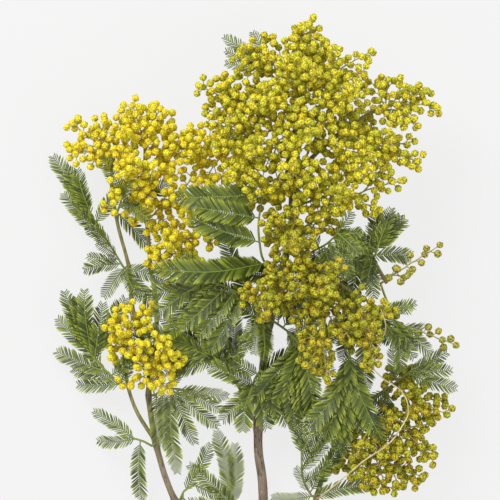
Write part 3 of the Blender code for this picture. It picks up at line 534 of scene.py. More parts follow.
# more pinnae, which lie low behind the flowers: a place on the rachis and a tip
morePinnae = {
    "leaf_centre_bottom": [(0.5, (40, -22, 22)), (0.4, (22, -8, 20)), (0.9, (58, -44, 24)), (0.3, (-8, -34, 20)),
                           (1.0, (46, -72, 26)), (0.8, (48, -30, 30))],
    "leaf_right_mid": [(0.3, (28, -34, 26)), (0.5, (46, -34, 30)), (0.8, (66, -44, 30)), (0.6, (34, 14, 30)),
                       (0.9, (78, -18, 34))],
    "leaf_right_feather": [(0.3, (60, -30, 26)), (0.6, (96, -4, 34)), (0.9, (58, 8, 34))],
    "leaf_right_low": [(0.3, (56, -66, 26)), (0.6, (70, -84, 30)), (1.0, (104, -48, 30)), (0.5, (90, -58, 24))],
    "leaf_left_inner": [(0.5, (-50, 40, 10)), (0.3, (-62, 2, 10))],
    "leaf_left_upper": [(0.2, (-58, -34, 9)), (0.1, (-48, -20, 16)), (0.8, (-76, 40, 10))],
    "leaf_left_lower": [(0.3, (-72, -52, 8)), (0.8, (-76, -30, 10)), (0.5, (-60, -60, 10))],
    "leaf_low_left": [(0.3, (-68, -46, 8)), (0.8, (-36, -52, 12)), (0.5, (-56, -54, 12))],
    "leaf_low_mid": [(0.5, (-52, -42, 16)), (0.8, (-60, -66, 16)), (0.2, (-10, -38, 22))],
    "leaf_mid_lower": [(0.8, (-50, -22, 26))],
    "leaf_right_pale": [(0.4, (74, -122, 9)), (0.3, (58, -102, 10)), (0.6, (100, -112, 12))],
    "leaf_right_base": [(0.4, (62, -112, 9)), (0.3, (74, -142, 8)), (0.8, (54, -100, 12))],
    "leaf_centre_left": [(0.4, (34, -96, 20)), (0.8, (26, -62, 24)), (0.6, (-24, -70, 24))],
}


def thickenLeaves():
    # between two neighbouring pinnae of a leaf come others, at tips between theirs, and some lie lower and turned
    draw = random.Random(dense["seed"] + 1)
    rule = pinnaRules["more"]
    tests = laying["axisTests"]
    for name, (size, rachis, blades) in leaves.items():
        known = sorted(((min(range(tests + 1), key=lambda k: (placeOn(rachis, k / tests) - rib[0]).length) / tests,
                         rib[-1], lean) for rib, lean in blades), key=lambda entry: entry[0])
        steps = () if name in dense["open"] else dense["pinnaSteps"][size > dense["bigLeaf"]]
        for (f, tip, lean), (g, nextTip, nextLean) in zip(known, known[1:]):
            for step in steps:
                base = placeOn(rachis, f + (g - f) * step)
                between = tip.lerp(nextTip, step) - base
                length = (tip - base).length * (1 - step) + (nextTip - base).length * step
                if between.length >= dense["spread"] * length:
                    end = base + unit(between) * length * draw.uniform(*dense["pinnaReach"])
                    addPinna(rule, name, size, blades, base, end, sideways(draw), lean)
        for f, tip in morePinnae.get(name, ()):
            bend = sideways(draw)
            lean = sideways(draw, laying["bladeLean"])
            if not addPinna(rule, name, size, blades, placeOn(rachis, f), Vector(tip), bend, lean):
                print("no room for a pinna", name, tip)
        wanted = dense["behind"].get(name, 0)
        for attempt in range(dense["behindTries"] * wanted):
            if not wanted:
                break
            f, tip, lean = draw.choice(known)
            f += draw.uniform(-dense["behindShift"], dense["behindShift"])
            base = placeOn(rachis, min(1.0, max(0.1, f)))
            turn = draw.uniform(-dense["turn"], dense["turn"])
            x, y, z = (tip - base) * draw.uniform(*dense["behindReach"])
            cosine, sine = math.cos(turn), math.sin(turn)
            end = base + Vector((x * cosine - y * sine, x * sine + y * cosine, z - draw.uniform(*dense["drop"])))
            end.z = max(rule["floor"] + 2, end.z)
            wanted -= addPinna(rule, name, size, blades, base, end, sideways(draw), lean)


thickenLeaves()
thickenSprays()
print("thickened to", sum(len(heads) for colour, axis, racemes in sprays.values() for line, heads in racemes),
      "heads and", sum(len(blades) for size, rachis, blades in leaves.values()), "pinnae")

# the cut end of the stem ties the routes to the frame
stemVerts = {tuple(round(c, 7) for c in v.co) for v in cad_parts["woody_stem"].data.vertices}
lowest = min(v[1] for v in stemVerts)
cutRing = [Vector(v) for v in stemVerts if v[1] < lowest + 0.05 * mm]
cutCentre = sum(cutRing, Vector()) / len(cutRing)
shift = Vector(stemRoutes["main"][2][0]) * mm - cutCentre
print("cut ring points", len(cutRing), "shift", [round(c / mm, 3) for c in shift])


def inFrame(point):
    return Vector(point) * mm - shift


class Wire:
    # one socket of a graph, so that sums are written as sums
    def __init__(self, graph, socket):
        self.graph = graph
        self.socket = socket

    def do(self, operation, *others):
        return self.graph.wire("ShaderNodeMath", {"operation": operation}, dict(enumerate((self,) + others)))

    def __add__(self, other):
        return self.do("ADD", other)

    __radd__ = __add__

    def __mul__(self, other):
        return self.do("MULTIPLY", other)

    __rmul__ = __mul__

    def __sub__(self, other):
        return self.do("SUBTRACT", other)

    def __rsub__(self, other):
        return self * -1 + other

    def __truediv__(self, other):
        return self.do("DIVIDE", other)

    def __rtruediv__(self, other):
        return self.graph.wire("ShaderNodeMath", {"operation": "DIVIDE"}, {0: other, 1: self})


class Graph:
    # a node tree that is filled by name
    def __init__(self, tree):
        self.tree = tree

    def node(self, kind, settings=None, values=None):
        made = self.tree.nodes.new(kind)
        for name, value in (settings or {}).items():
            setattr(made, name, value)
        for name, value in (values or {}).items():
            socket = made.inputs[name] if isinstance(name, int) else next(
                s for s in made.inputs if s.enabled and s.name == name)
            if isinstance(value, Wire):
                self.tree.links.new(value.socket, socket)
            else:
                socket.default_value = value
        return made

    def wire(self, kind, settings=None, values=None, output=None):
        made = self.node(kind, settings, values)
        return Wire(self, next(s for s in made.outputs if s.enabled and (output is None or s.name == output)))

    def vector(self, operation, *values):
        named = {"Vector": values[0], "Scale": values[1]} if operation == "SCALE" else dict(enumerate(values))
        return self.wire("ShaderNodeVectorMath", {"operation": operation}, named)

    def number(self, name):
        # an attribute of the mesh, in a shader or in a geometry tree
        if self.tree.bl_idname == "ShaderNodeTree":
            return self.wire("ShaderNodeAttribute", {"attribute_name": name}, None, "Fac")
        return self.direction(name, "FLOAT")

    def direction(self, name, kind="FLOAT_VECTOR"):
        return self.wire("GeometryNodeInputNamedAttribute", {"data_type": kind}, {"Name": name}, "Attribute")

    def random(self, low, high, seed):
        kind = "FLOAT_VECTOR" if isinstance(low, tuple) else "FLOAT"
        return self.wire("FunctionNodeRandomValue", {"data_type": kind}, {"Min": low, "Max": high, "Seed": seed})

    def mix(self, factor, one, two):
        return self.wire("ShaderNodeMix", {"data_type": "RGBA"}, {"Factor": factor, "A": one, "B": two})

    def soft(self, value, low, high, to=(0.0, 1.0)):
        return self.wire("ShaderNodeMapRange", {"interpolation_type": "SMOOTHSTEP"}, {
            "Value": value, "From Min": low, "From Max": high, "To Min": to[0], "To Max": to[1]})

    def noise(self, place, scale, detail=2.0, rough=0.5):
        return self.wire("ShaderNodeTexNoise", None, {
            "Vector": place, "Scale": scale, "Detail": detail, "Roughness": rough}, "Fac")

    def cells(self, place, scale):
        return self.wire("ShaderNodeTexVoronoi", None, {"Vector": place, "Scale": scale}, "Distance")

    def place(self):
        return self.wire("ShaderNodeTexCoord", None, None, "Object")

    def shape(self, held):
        return self.wire("GeometryNodeObjectInfo", None, {"Object": held}, "Geometry")

    def turn(self, main, way, second, guide):
        return self.wire("FunctionNodeAxesToRotation", {"primary_axis": main, "secondary_axis": second}, {
            "Primary Axis": way, "Secondary Axis": guide})

    def scatter(self, points, chosen, shape, turn, scale):
        return self.wire("GeometryNodeInstanceOnPoints", None, {
            "Points": points, "Selection": chosen, "Instance": shape, "Rotation": turn, "Scale": scale})

    def store(self, geometry, name, value, domain="POINT", kind="FLOAT"):
        return self.wire("GeometryNodeStoreNamedAttribute", {"data_type": kind, "domain": domain}, {
            "Geometry": geometry, "Name": name, "Value": value}, "Geometry")

    def joined(self, *geometries):
        made = self.node("GeometryNodeJoinGeometry")
        for geometry in geometries:
            self.tree.links.new(geometry.socket, made.inputs[0])
        return Wire(self, made.outputs[0])

    def lines(self, geometry):
        return self.wire("GeometryNodeMeshToCurve", None, {"Mesh": geometry})

    def tubes(self, geometry, sides):
        # a closed tube along every line, as thick as its points' radius says
        radius = self.number("radius")
        thick = self.wire("GeometryNodeSetCurveRadius", None, {"Curve": self.lines(geometry), "Radius": radius})
        ring = self.wire("GeometryNodeCurvePrimitiveCircle", {"mode": "RADIUS"}, {"Resolution": sides, "Radius": 1.0})
        made = self.node("GeometryNodeCurveToMesh", None, {"Curve": thick, "Profile Curve": ring, "Fill Caps": True})
        for socket in made.inputs:
            if socket.name == "Scale":
                self.tree.links.new(radius.socket, socket)
        return Wire(self, made.outputs[0])

    def smooth(self, geometry):
        return self.wire("GeometryNodeSetShadeSmooth", None, {"Geometry": geometry})

    def close(self, geometry, material):
        real = self.wire("GeometryNodeRealizeInstances", None, {"Geometry": geometry})
        painted = self.wire("GeometryNodeSetMaterial", None, {"Geometry": real, "Material": material})
        self.tree.links.new(painted.socket, self.tree.nodes.new("NodeGroupOutput").inputs[0])
        return self.tree


def newTree(name, inputs):
    tree = bpy.data.node_groups.new(name, "GeometryNodeTree")
    tree.interface.new_socket("Geometry", in_out="INPUT", socket_type="NodeSocketGeometry")
    kinds = {float: "Float", int: "Int", bpy.types.Object: "Object", bpy.types.Material: "Material"}
    for label, value in inputs.items():
        kind = next(k for t, k in kinds.items() if isinstance(value, t))
        socket = tree.interface.new_socket(label, in_out="INPUT", socket_type="NodeSocket" + kind)
        if isinstance(value, (float, int)):
            socket.default_value = value
    tree.interface.new_socket("Geometry", in_out="OUTPUT", socket_type="NodeSocketGeometry")
    graph = Graph(tree)
    return graph, {s.name: Wire(graph, s) for s in tree.nodes.new("NodeGroupInput").outputs if s.name}


def shade(*colour):
    # a colour as seen on a screen, made linear
    return tuple(((c / 255 + 0.055) / 1.055) ** 2.4 if c > 10 else c / 255 / 12.92 for c in colour) + (1.0,)


class Finish:
    # a material whose inputs are fed by a graph
    def __init__(self, name, roughness):
        self.made = bpy.data.materials.new(name)
        self.made.use_nodes = True
        self.graph = Graph(self.made.node_tree)
        self.inputs = self.made.node_tree.nodes["Principled BSDF"].inputs
        self.inputs["Roughness"].default_value = roughness

    def feed(self, name, wire):
        self.graph.tree.links.new(wire.socket, self.inputs[name])

    def bump(self, height, distance, strength):
        self.feed("Normal", self.graph.wire("ShaderNodeBump", None, {
            "Strength": strength, "Distance": distance, "Height": height}))


def placed(name, data):
    made = bpy.data.objects.new(name, data)
    bpy.context.scene.collection.objects.link(made)
    return made


class Lines:
    # points joined in lines, with the values that the trees read from them
    def __init__(self):
        self.points, self.edges, self.values = [], [], {}

    def dot(self, point, **values):
        self.points.append(inFrame(point))
        for name, value in values.items():
            self.values.setdefault(name, []).append(value)

    def line(self, route, radii, ways=None, **values):
        for i, (point, radius) in enumerate(zip(route, radii)):
            if i:
                self.edges.append((len(self.points) - 1, len(self.points)))
            facing = {"facing": ways[i]} if ways else {}
            self.dot(point, radius=radius * mm, **facing, **values)

    def grow(self, tree, inputs, name, node, slotName):
        # runs the tree on the lines, keeps the plain mesh, and puts it in the place of the node
        mesh = bpy.data.meshes.new(name + "_lines")
        mesh.from_pydata(self.points, self.edges, [])
        for label, values in self.values.items():
            isVector = isinstance(values[0], Vector)
            made = mesh.attributes.new(label, "FLOAT_VECTOR" if isVector else "FLOAT", "POINT")
            for entry, value in zip(made.data, values):
                setattr(entry, "vector" if isVector else "value", value)
        source = placed(name + "_lines", mesh)
        modifier = source.modifiers.new("grown", "NODES")
        modifier.node_group = tree
        for socket in tree.interface.items_tree:
            if socket.in_out == "INPUT" and socket.name in inputs:
                modifier[socket.identifier] = inputs[socket.name]
        mesh = bpy.data.meshes.new_from_object(source.evaluated_get(bpy.context.evaluated_depsgraph_get()))
        source.modifiers.remove(modifier)
        bpy.data.objects.remove(source)
        mesh.name = name
        piece = placed(name, mesh)
        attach(piece, "root")
        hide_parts(node)
        counts[name] = sum(len(p.vertices) - 2 for p in mesh.polygons)


def tapered(count, radius, loss):
    # radii that shrink evenly along a line
    return [radius * (1 - loss * i / count) for i in range(count)]


counts = {}

# flower heads
headLook = {
    "valley": 0.88, "floret": 0.00105,  # height of the gaps between the buds, width of a floret
    "grain": 2600, "patch": 240, "bump": (0.0008, 0.7), "small": 0.96, "swell": (0.93, 1.07), "stalk": 0.28,
    "axisStep": 3, "axisLoss": 0.35, "raceme": 0.8, "racemeLoss": 0.45, "axisSides": 6, "stalkSides": 5,
    "darkSprays": ("spray_front", "spray_lower_right"),
}
# gap is the colour between the florets: partly their own olive, partly painted shade in the recesses
headColours = {
    "lime": {"tip": shade(236, 228, 46), "warm": shade(242, 220, 38), "young": shade(202, 206, 42),
             "gap": shade(146, 136, 6), "stalk": shade(186, 176, 84)},
    "yellow": {"tip": shade(252, 240, 42), "warm": shade(252, 224, 32), "young": shade(228, 222, 40),
               "gap": shade(184, 164, 8), "stalk": shade(208, 180, 78)},
    "olive": {"tip": shade(190, 188, 66), "warm": shade(200, 184, 60), "young": shade(150, 156, 58),
              "gap": shade(104, 98, 34), "stalk": shade(168, 158, 92)},
    "darkYellow": {"tip": shade(208, 202, 34), "warm": shade(216, 190, 28), "young": shade(170, 174, 26),
             "gap": shade(114, 108, 5), "stalk": shade(204, 176, 84)},
}


def headShape():
    # a ball of 80 faces with 12 raised buds; the finer florets are in its material
    bm = bmesh.new()
    bmesh.ops.create_icosphere(bm, subdivisions=1, radius=1.0)
    peaks = [v.co.normalized() for v in bm.verts]
    bmesh.ops.subdivide_edges(bm, edges=bm.edges[:], cuts=1, use_grid_fill=True)
    bmesh.ops.triangulate(bm, faces=bm.faces[:])
    crown = []
    for v in bm.verts:
        way = v.co.normalized()
        isPeak = max(way.dot(p) for p in peaks) > 0.999
        v.co = way * (1.0 if isPeak else headLook["valley"])
        crown.append(float(isPeak))
    for f in bm.faces:
        f.smooth = True
    bmesh.ops.recalc_face_normals(bm, faces=bm.faces)
    mesh = bpy.data.meshes.new("headShape")
    bm.to_mesh(mesh)
    bm.free()
    # crown marks the bud tops, which the material paints a little lighter as painted light
    mesh.attributes.new("crown", "FLOAT", "POINT").data.foreach_set("value", crown)
    print("head shape", len(mesh.polygons), "faces", sum(crown), "buds")
    return placed("headShape", mesh)


def flowerMaterial(colour):
    look = headColours[colour]
    finish = Finish("flower_" + colour, 0.75)
    graph = finish.graph
    place = graph.place()
    tint = graph.number("tint")
    ripe = graph.mix(graph.soft(tint, 0.55, 1.0), look["tip"], look["warm"])
    ripe = graph.mix(graph.soft(tint, 0.35, 0.0), ripe, look["young"])
    grain = graph.noise(place, headLook["grain"])
    floret = graph.cells(place, 1 / headLook["floret"])
    # florets lighter at their middles and on the raised buds, darker at their edges: the gaps' own olive with painted
    # shade in them, and painted light on the bud tops
    lift = 0.64 - floret + graph.number("crown") * 0.06 + (grain - 0.5) * 0.16
    head = graph.mix(graph.soft(lift, -0.06, 0.34), look["gap"], ripe)
    patch = graph.soft(graph.noise(place, headLook["patch"]), 0.35, 0.65)
    stalk = graph.mix(patch, look["stalk"], shade(158, 160, 78))
    finish.feed("Base Color", graph.mix(graph.number("stalk"), head, stalk))
    finish.bump(floret * -1.0, *headLook["bump"])
    return finish.made


def sprayTree():
    graph, given = newTree("flowerSpray", {
        "Head radius": flower["headRadius"] * mm, "Stalk radius": headLook["stalk"] * mm,
        "Axis sides": headLook["axisSides"], "Seed": 5, "Head shape": shapes["head"], "Material": materials["lime"]})
    points = given["Geometry"]
    size = graph.number("size")
    reach = graph.number("reach")
    turn = graph.turn("Z", graph.direction("facing"), "X", graph.random((-1, -1, -1), (1, 1, 1), given["Seed"]))
    swell = graph.random(*headLook["swell"], given["Seed"])
    heads = graph.scatter(points, size.do("GREATER_THAN", 0.01), graph.shape(given["Head shape"]), turn,
                          size * swell * given["Head radius"])
    rod = graph.wire("GeometryNodeMeshCylinder", {"fill_type": "TRIANGLE_FAN"}, {
        "Vertices": headLook["stalkSides"], "Radius": 1.0, "Depth": 1.0}, "Mesh")
    rod = graph.wire("GeometryNodeTransform", None, {"Geometry": rod, "Translation": (0, 0, -0.5)})
    thin = graph.wire("ShaderNodeCombineXYZ", None, {
        "X": given["Stalk radius"], "Y": given["Stalk radius"], "Z": reach})
    stalks = graph.scatter(points, reach.do("GREATER_THAN", 0.1 * mm), rod, turn, thin)
    wood = graph.joined(stalks, graph.tubes(points, given["Axis sides"]))
    wood = graph.wire("GeometryNodeRealizeInstances", None, {"Geometry": wood})
    both = graph.joined(heads, graph.store(wood, "stalk", 1.0))
    return graph.close(graph.smooth(both), given["Material"])


def growSpray(name, colour, axis, racemes):
    spray = Lines()
    draw = random.Random(name)
    plain = {"facing": Vector((0, 0, 1)), "size": 0.0, "reach": 0.0, "tint": 0.5}

    def head(centre, way, length, scale):
        spray.dot(centre, radius=0.0, facing=way, size=scale, reach=length * mm, tint=draw.random())

    smooth = along(axis, headLook["axisStep"])
    spray.line(smooth, tapered(len(smooth), flower["axisRadius"], headLook["axisLoss"]), **plain)
    for (foot, tip), heads in racemes:
        way = unit(tip - foot)
        stops = [foot]
        for start, centre in sorted((h for h in heads if h[0]), key=lambda h: (h[0] - foot).length):
            stops.append(start + unit(across(centre - start, way)) * headLook["stalk"])
            head(centre, unit(centre - start), (centre - start).length, 1.0)
        stops.append(tip)
        radius = headLook["raceme"] * flower["racemeRadius"]
        spray.line(stops, tapered(len(stops), radius, headLook["racemeLoss"]), **plain)
        head(tip, way, 0.0, headLook["small"])
    # the front and lower right sprays take a darker copy of the yellow heads
    finish = "darkYellow" if name.startswith(headLook["darkSprays"]) else colour
    spray.grow(trees["spray"], {"Head shape": shapes["head"], "Material": materials[finish]},
               name + "_bloom", name, colour + "_flower")


# leaves
leafLook = {
    "spacing": 1.4, "width": 0.13, "forward": 0.92, "thickness": 0.035, "fold": 0.3,
    "stations": ((0.12, 0.9), (0.78, 0.95)),
    "rachisStep": 3, "rachisLoss": 0.3, "ribRadius": 0.45, "ribLoss": 0.48, "ribSides": 6, "bareRoot": 0.04,
    "jitter": (0.9, 1.04), "nod": (-0.12, 0.2), "widest": 5, "patch": 60, "vein": 900, "bump": (0.0001, 0.4),
    "top": shade(102, 118, 26), "deep": shade(50, 64, 10), "tip": shade(164, 174, 52), "under": shade(120, 136, 68),
    "rib": shade(126, 138, 56),
}


def leafletShape():
    # one leaflet along +X, folded a little along its middle: 12 faces, underside marked
    verts = [(0, 0, 0)]
    for x, share in leafLook["stations"]:
        half = leafLook["width"] / 2 * share
        edge = half * leafLook["fold"]
        thick = leafLook["thickness"] / 2
        verts += [(x, half, edge), (x, -half, edge), (x, 0, thick), (x, 0, -thick)]
    verts.append((1, 0, 0.01))
    end = len(verts) - 1
    faces, under = [], []
    for middle in (3, 4):
        near, far = (1, middle, 2), (5, middle + 4, 6)
        faces += [(0, near[1], near[0]), (0, near[2], near[1]), (near[0], near[1], far[1], far[0]),
                  (near[1], near[2], far[2], far[1]), (far[0], far[1], end), (far[1], far[2], end)]
        under += [float(middle == 4)] * 6
    mesh = bpy.data.meshes.new("leafletShape")
    mesh.from_pydata(verts, [], faces)
    bm = bmesh.new()
    bm.from_mesh(mesh)
    bmesh.ops.recalc_face_normals(bm, faces=bm.faces)
    bm.to_mesh(mesh)
    bm.free()
    mesh.attributes.new("under", "FLOAT", "FACE").data.foreach_set("value", under)
    mesh.attributes.new("outward", "FLOAT", "POINT").data.foreach_set("value", [v[0] for v in verts])
    return placed("leafletShape", mesh)


def leafMaterial():
    finish = Finish("leaf_green", 0.5)
    graph = finish.graph
    place = graph.place()
    tint = graph.number("tint")
    patch = graph.noise(place, leafLook["patch"])
    top = graph.mix(graph.soft(tint + patch * 0.6, 0.3, 1.1), leafLook["deep"], leafLook["top"])
    # lighter and yellower towards the leaflet tips: partly the tips' own paler colour, partly painted shade at the
    # base near the rib
    top = graph.mix(graph.soft(graph.number("outward") + tint * 0.5, 0.7, 1.5), top, leafLook["tip"])
    vein = graph.noise(graph.vector("MULTIPLY", place, (leafLook["vein"],) * 3), 1.0, 3.0)
    body = graph.mix(graph.number("under"), top, leafLook["under"])
    body = graph.mix(graph.soft(vein, 0.3, 0.8, (0.0, 0.25)), body, leafLook["deep"])
    finish.feed("Base Color", graph.mix(graph.number("rib"), body, leafLook["rib"]))
    finish.feed("Roughness", graph.soft(vein, 0.2, 0.8, (0.42, 0.62)))
    finish.bump(vein, *leafLook["bump"])
    return finish.made


def leafTree():
    graph, given = newTree("featherLeaf", {
        "Leaflet spacing": leafLook["spacing"] * mm, "Leaflet reach": leaf["leafletLength"] * mm,
        "Forward": leafLook["forward"], "Cup": leaf["cup"], "Leaflet width": 1.0, "Rib sides": leafLook["ribSides"],
        "Seed": 3,
        "Leaflet shape": shapes["leaflet"], "Material": materials["leaf"]})
    tubes = graph.store(graph.tubes(given["Geometry"], given["Rib sides"]), "rib", 1.0)
    size = graph.number("size")
    blades = graph.wire("GeometryNodeSeparateGeometry", {"domain": "POINT"}, {
        "Geometry": given["Geometry"], "Selection": size.do("GREATER_THAN", 0.01)}, "Selection")
    ribs = graph.wire("GeometryNodeResampleCurve", {"mode": "LENGTH"}, {
        "Curve": graph.lines(blades), "Length": given["Leaflet spacing"]})
    ribs = graph.store(ribs, "share", graph.wire("GeometryNodeSplineParameter", None, None, "Factor"))
    ribs = graph.store(ribs, "span", graph.wire("GeometryNodeSplineLength", None, None, "Length"))
    ribs = graph.store(ribs, "ahead", graph.wire("GeometryNodeInputTangent"), "POINT", "FLOAT_VECTOR")
    dots = graph.wire("GeometryNodeCurveToPoints", {"mode": "EVALUATED"}, {"Curve": ribs}, "Points")
    share, span = graph.number("share"), graph.number("span")
    ahead, facing = graph.direction("ahead"), graph.direction("facing")
    reach = size * given["Leaflet reach"]
    reach = reach * (span / (laying["fullPinna"] * mm) + laying["shortPinna"]).do("MINIMUM", 1.0)
    reach = reach * (share * laying["rootRise"] + laying["rootShare"]).do("MINIMUM", 1.0)
    reach = reach * ((1 - share) * laying["tipRise"] + laying["tipShare"]).do("MINIMUM", 1.0)
    side = graph.vector("CROSS_PRODUCT", ahead, facing)
    shape = graph.shape(given["Leaflet shape"])
    rows = []
    for way, seedStep in ((-1.0, 0), (1.0, 17)):
        seed = given["Seed"] + seedStep
        nod = graph.random(*leafLook["nod"], seed + 1)
        out = graph.vector("SCALE", side, reach * way)
        out = graph.vector("ADD", out, graph.vector("SCALE", ahead, reach * (given["Forward"] + nod)))
        out = graph.vector("ADD", out, graph.vector("SCALE", facing, reach * (given["Cup"] + nod)))
        length = graph.wire("ShaderNodeVectorMath", {"operation": "LENGTH"}, {0: out}, "Value")
        length = length * graph.random(*leafLook["jitter"], seed)
        wide = length.do("MAXIMUM", leafLook["widest"] * mm) * given["Leaflet width"]
        sizes = graph.wire("ShaderNodeCombineXYZ", None, {"X": length, "Y": wide, "Z": wide})
        chosen = share.do("GREATER_THAN", leafLook["bareRoot"])
        row = graph.scatter(dots, chosen, shape, graph.turn("X", out, "Z", facing), sizes)
        rows.append(graph.store(row, "tint", graph.random(0.0, 1.0, seed + 2), "INSTANCE"))
    return graph.close(graph.joined(tubes, *rows), given["Material"])


def growLeaf(name, size, rachis, blades):
    lines = Lines()
    smooth = along(rachis, leafLook["rachisStep"])
    radii = tapered(len(smooth), leaf["rachisRadius"], leafLook["rachisLoss"])
    lines.line(smooth, radii, [Vector((0, 0, 1))] * len(smooth), size=0.0)
    for rib, lean in blades:
        radii = tapered(len(rib), leafLook["ribRadius"], leafLook["ribLoss"])
        lines.line(rib, radii, [bladeFrame(rib, i, lean)[1] for i in range(len(rib))], size=size)
    lines.grow(trees["leaf"], {"Leaflet shape": shapes["leaflet"], "Material": materials["leaf"]},
               name + "_leaflets", name, "leaf")


# wood
barkLook = {
    "step": 3.0, "sides": 16, "rough": 0.28, "knot": (0.55, 2.2), "ridge": 420.0, "streak": 900, "patch": 90,
    "dot": 320.0, "bump": (0.0005, 0.7), "cutDepth": 0.3, "pithRadius": 0.4, "ring": 9000,
    "brown": shade(112, 92, 74), "grey": shade(136, 122, 106), "dark": shade(72, 58, 50),
    "pale": shade(168, 150, 120), "young": shade(142, 138, 84), "shoot": shade(112, 106, 60),
    "heart": shade(206, 190, 146), "rind": shade(168, 148, 98), "pith": shade(132, 108, 72),
    "forkAt": (5, -101, 18), "fork": [(-6, 9, 5), (-11, 16, 8)], "prong": (-3, 16, 8), "forkRadius": (1.3, 0.8),
    "forkStep": 2, "prongShare": 0.9,
}
dryLook = {
    "step": 2, "sides": 8, "rough": 0.08, "pale": shade(216, 200, 150), "brown": shade(178, 156, 104), "patch": 200,
    "bump": (0.0002, 0.5),
}


def barkMaterial():
    finish = Finish("bark_brown", 0.8)
    graph = finish.graph
    place = graph.place()
    streak = graph.noise(graph.vector("MULTIPLY", place, (1.0, 0.16, 1.0)), barkLook["streak"], 4.0, 0.6)
    patch = graph.noise(place, barkLook["patch"], 3.0)
    dot = graph.cells(graph.vector("MULTIPLY", place, (1.0, 0.7, 1.0)), barkLook["dot"])
    bark = graph.mix(graph.soft(patch, 0.3, 0.7), barkLook["brown"], barkLook["grey"])
    bark = graph.mix(graph.soft(streak, 0.5, 0.32), bark, barkLook["dark"])
    bark = graph.mix(graph.soft(dot, 0.16, 0.1), bark, barkLook["pale"])
    young = graph.mix(graph.soft(streak, 0.35, 0.6), barkLook["shoot"], barkLook["young"])
    isYoung = graph.soft(graph.number("girth") + (patch - 0.5) * mm, 2.1 * mm, 1.4 * mm)
    # pale wood with rings and pith at the cut end
    fromPith = graph.wire("ShaderNodeVectorMath", {"operation": "DISTANCE"}, {0: place, 1: tuple(cutCentre)}, "Value")
    rings = (fromPith * barkLook["ring"] + patch * 3).do("SINE")
    wood = graph.mix(graph.soft(rings, -0.6, 0.9, (0.0, 0.6)), barkLook["heart"], barkLook["rind"])
    pithEdge = barkLook["pithRadius"] * mm
    wood = graph.mix(graph.soft(fromPith, pithEdge + 0.15 * mm, pithEdge), wood, barkLook["pith"])
    split = graph.node("ShaderNodeSeparateXYZ", None, {"Vector": place})
    cutEdge = cutCentre.y + barkLook["cutDepth"] * mm
    isCut = graph.soft(Wire(graph, split.outputs["Y"]), cutEdge + 0.2 * mm, cutEdge)
    finish.feed("Base Color", graph.mix(isCut, graph.mix(isYoung, bark, young), wood))
    finish.feed("Roughness", graph.soft(streak, 0.3, 0.7, (0.85, 0.62)))
    finish.bump(streak + graph.soft(dot, 0.2, 0.1) * 0.4, *barkLook["bump"])
    return finish.made


def dryMaterial():
    finish = Finish("dry_stalk", 0.7)
    patch = finish.graph.noise(finish.graph.place(), dryLook["patch"], 3.0)
    tone = finish.graph.soft(patch, 0.3, 0.7)
    finish.feed("Base Color", finish.graph.mix(tone, dryLook["pale"], dryLook["brown"]))
    finish.bump(patch, *dryLook["bump"])
    return finish.made


def stemTree():
    graph, given = newTree("woodyStem", {
        "Sides": 16, "Roughness": barkLook["rough"] * mm, "Material": materials["bark"]})
    place = graph.vector("MULTIPLY", graph.wire("GeometryNodeInputPosition"), (1.0, 0.3, 1.0))
    ridge = graph.noise(place, barkLook["ridge"], 3.0)
    push = graph.vector("SCALE", graph.wire("GeometryNodeInputNormal"), (ridge - 0.5) * given["Roughness"])
    shaped = graph.wire("GeometryNodeSetPosition", None, {
        "Geometry": graph.tubes(given["Geometry"], given["Sides"]), "Offset": push})
    return graph.close(graph.smooth(shaped), given["Material"])


def growStem():
    roots = [axis[0] for colour, axis, racemes in sprays.values()]
    roots += [rachis[0] for size, rachis, blades in leaves.values()]
    roots += [Vector(route[0]) for name, (root, tip, route) in stemRoutes.items() if name != "main"]
    knot, spread = barkLook["knot"]
    wood = Lines()
    for root, tip, route in stemRoutes.values():
        curve = along(route, barkLook["step"])
        radii = []
        for i, p in enumerate(curve):
            size = root + (tip - root) * i / (len(curve) - 1)
            near = min((p - r).length for r in roots)
            radii.append(size + knot * math.exp(-(max(0.0, near - size) / spread) ** 2) * min(1.0, size / 2))
        wood.line(curve, radii)
    # a short bare fork on the main stem
    start = min((p for p, size, tangent in places), key=lambda p: (p - Vector(barkLook["forkAt"])).length)
    first, second, prong = [start + Vector(step) for step in barkLook["fork"] + [barkLook["prong"]]]
    thick, thin = barkLook["forkRadius"]
    for route, root in (([start, first, second], thick), ([first, prong], barkLook["prongShare"] * thick)):
        curve = along(route, barkLook["forkStep"])
        wood.line(curve, [root + (thin - root) * i / (len(curve) - 1) for i in range(len(curve))])
    wood.values["girth"] = wood.values["radius"]
    wood.grow(trees["stem"], {"Material": materials["bark"], "Sides": barkLook["sides"]},
              "woody_stem_bark", "woody_stem", "bark")


def growDried():
    stalk = Lines()
    fine = along(dried, dryLook["step"])
    stalk.line(fine, tapered(len(fine), driedRoot, 1 - driedTip / driedRoot))
    inputs = {"Material": materials["dry"], "Sides": dryLook["sides"], "Roughness": dryLook["rough"] * mm}
    stalk.grow(trees["stem"], inputs, "dried_rachis_stalk", "dried_rachis", "dry_stalk")


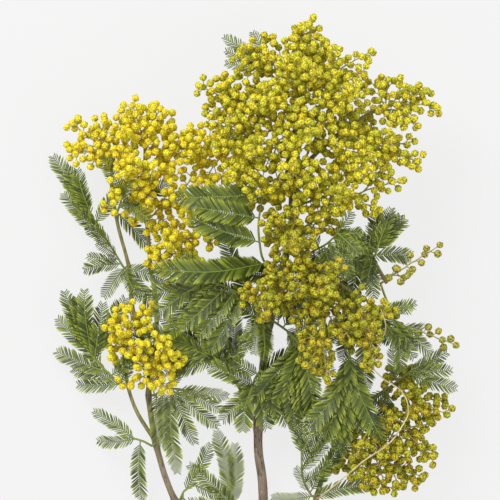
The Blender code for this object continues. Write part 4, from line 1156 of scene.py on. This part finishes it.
# growing it all
materials = {colour: flowerMaterial(colour) for colour in headColours}
materials.update(leaf=leafMaterial(), bark=barkMaterial(), dry=dryMaterial())
shapes = {"head": headShape(), "leaflet": leafletShape()}
trees = {"spray": sprayTree(), "leaf": leafTree(), "stem": stemTree()}
for name, (colour, axis, racemes) in sprays.items():
    growSpray(name, colour, axis, racemes)
print("grown the sprays", sum(counts.values()), "triangles")
for name, (size, rachis, blades) in leaves.items():
    growLeaf(name, size, rachis, blades)
print("grown the leaves", sum(counts.values()), "triangles")
growStem()
growDried()
for shape in shapes.values():
    bpy.data.objects.remove(shape)
print("grown the wood", sum(counts.values()), "triangles, most in a piece", max(counts.values()))

# floor, light and camera
studio = {
    "floor": 0.07, "halfFloor": 6, "glow": 0.785, "sky": 0.72, "height": 2.5, "subject": 0.040, "width": 0.300,
    "sensor": 36,
    "keyLight": {"from": (-0.7, 1.0, 1.3), "size": 1.0, "power": 26.0},
    "fillLight": {"from": (1.1, -0.5, 1.2), "size": 1.4, "power": 8.0},
}
white = (1, 1, 1, 1)

half = studio["halfFloor"]
mesh = bpy.data.meshes.new("floor")
mesh.from_pydata([(-half, -half, 0), (half, -half, 0), (half, half, 0), (-half, half, 0)], [], [(0, 1, 2, 3)])
floorFinish = Finish("pale_floor", 0.9)
floorFinish.inputs["Base Color"].default_value = (studio["floor"],) * 3 + (1,)
floorFinish.inputs["Emission Color"].default_value = white
floorFinish.inputs["Emission Strength"].default_value = studio["glow"]
mesh.materials.append(floorFinish.made)
placed("floor", mesh)

middle = inFrame((0, 0, studio["subject"] / mm))
for name in ("keyLight", "fillLight"):
    light = bpy.data.lights.new(name, "AREA")
    light.shape = "DISK"
    light.size = studio[name]["size"]
    light.energy = studio[name]["power"]
    lamp = placed(name, light)
    lamp.location = middle + Vector(studio[name]["from"])
    lamp.rotation_euler = (-Vector(studio[name]["from"])).to_track_quat("-Z", "Y").to_euler()
world = bpy.data.worlds.new("softRoom")
world.use_nodes = True
sky = world.node_tree.nodes["Background"].inputs
sky["Color"].default_value = white
sky["Strength"].default_value = studio["sky"]
bpy.context.scene.world = world
bpy.context.scene.view_settings.view_transform = "Standard"

cameraData = bpy.data.cameras.new("camera")
cameraData.sensor_width = studio["sensor"]
cameraData.lens = studio["sensor"] * (studio["height"] - studio["subject"]) / studio["width"]
camera = placed("camera", cameraData)
camera.location = inFrame((0, 0, 0)) + Vector((0, 0, studio["height"]))
camera.rotation_euler = (0, 0, 0)
bpy.context.scene.camera = camera
print("floor, lights and camera set")
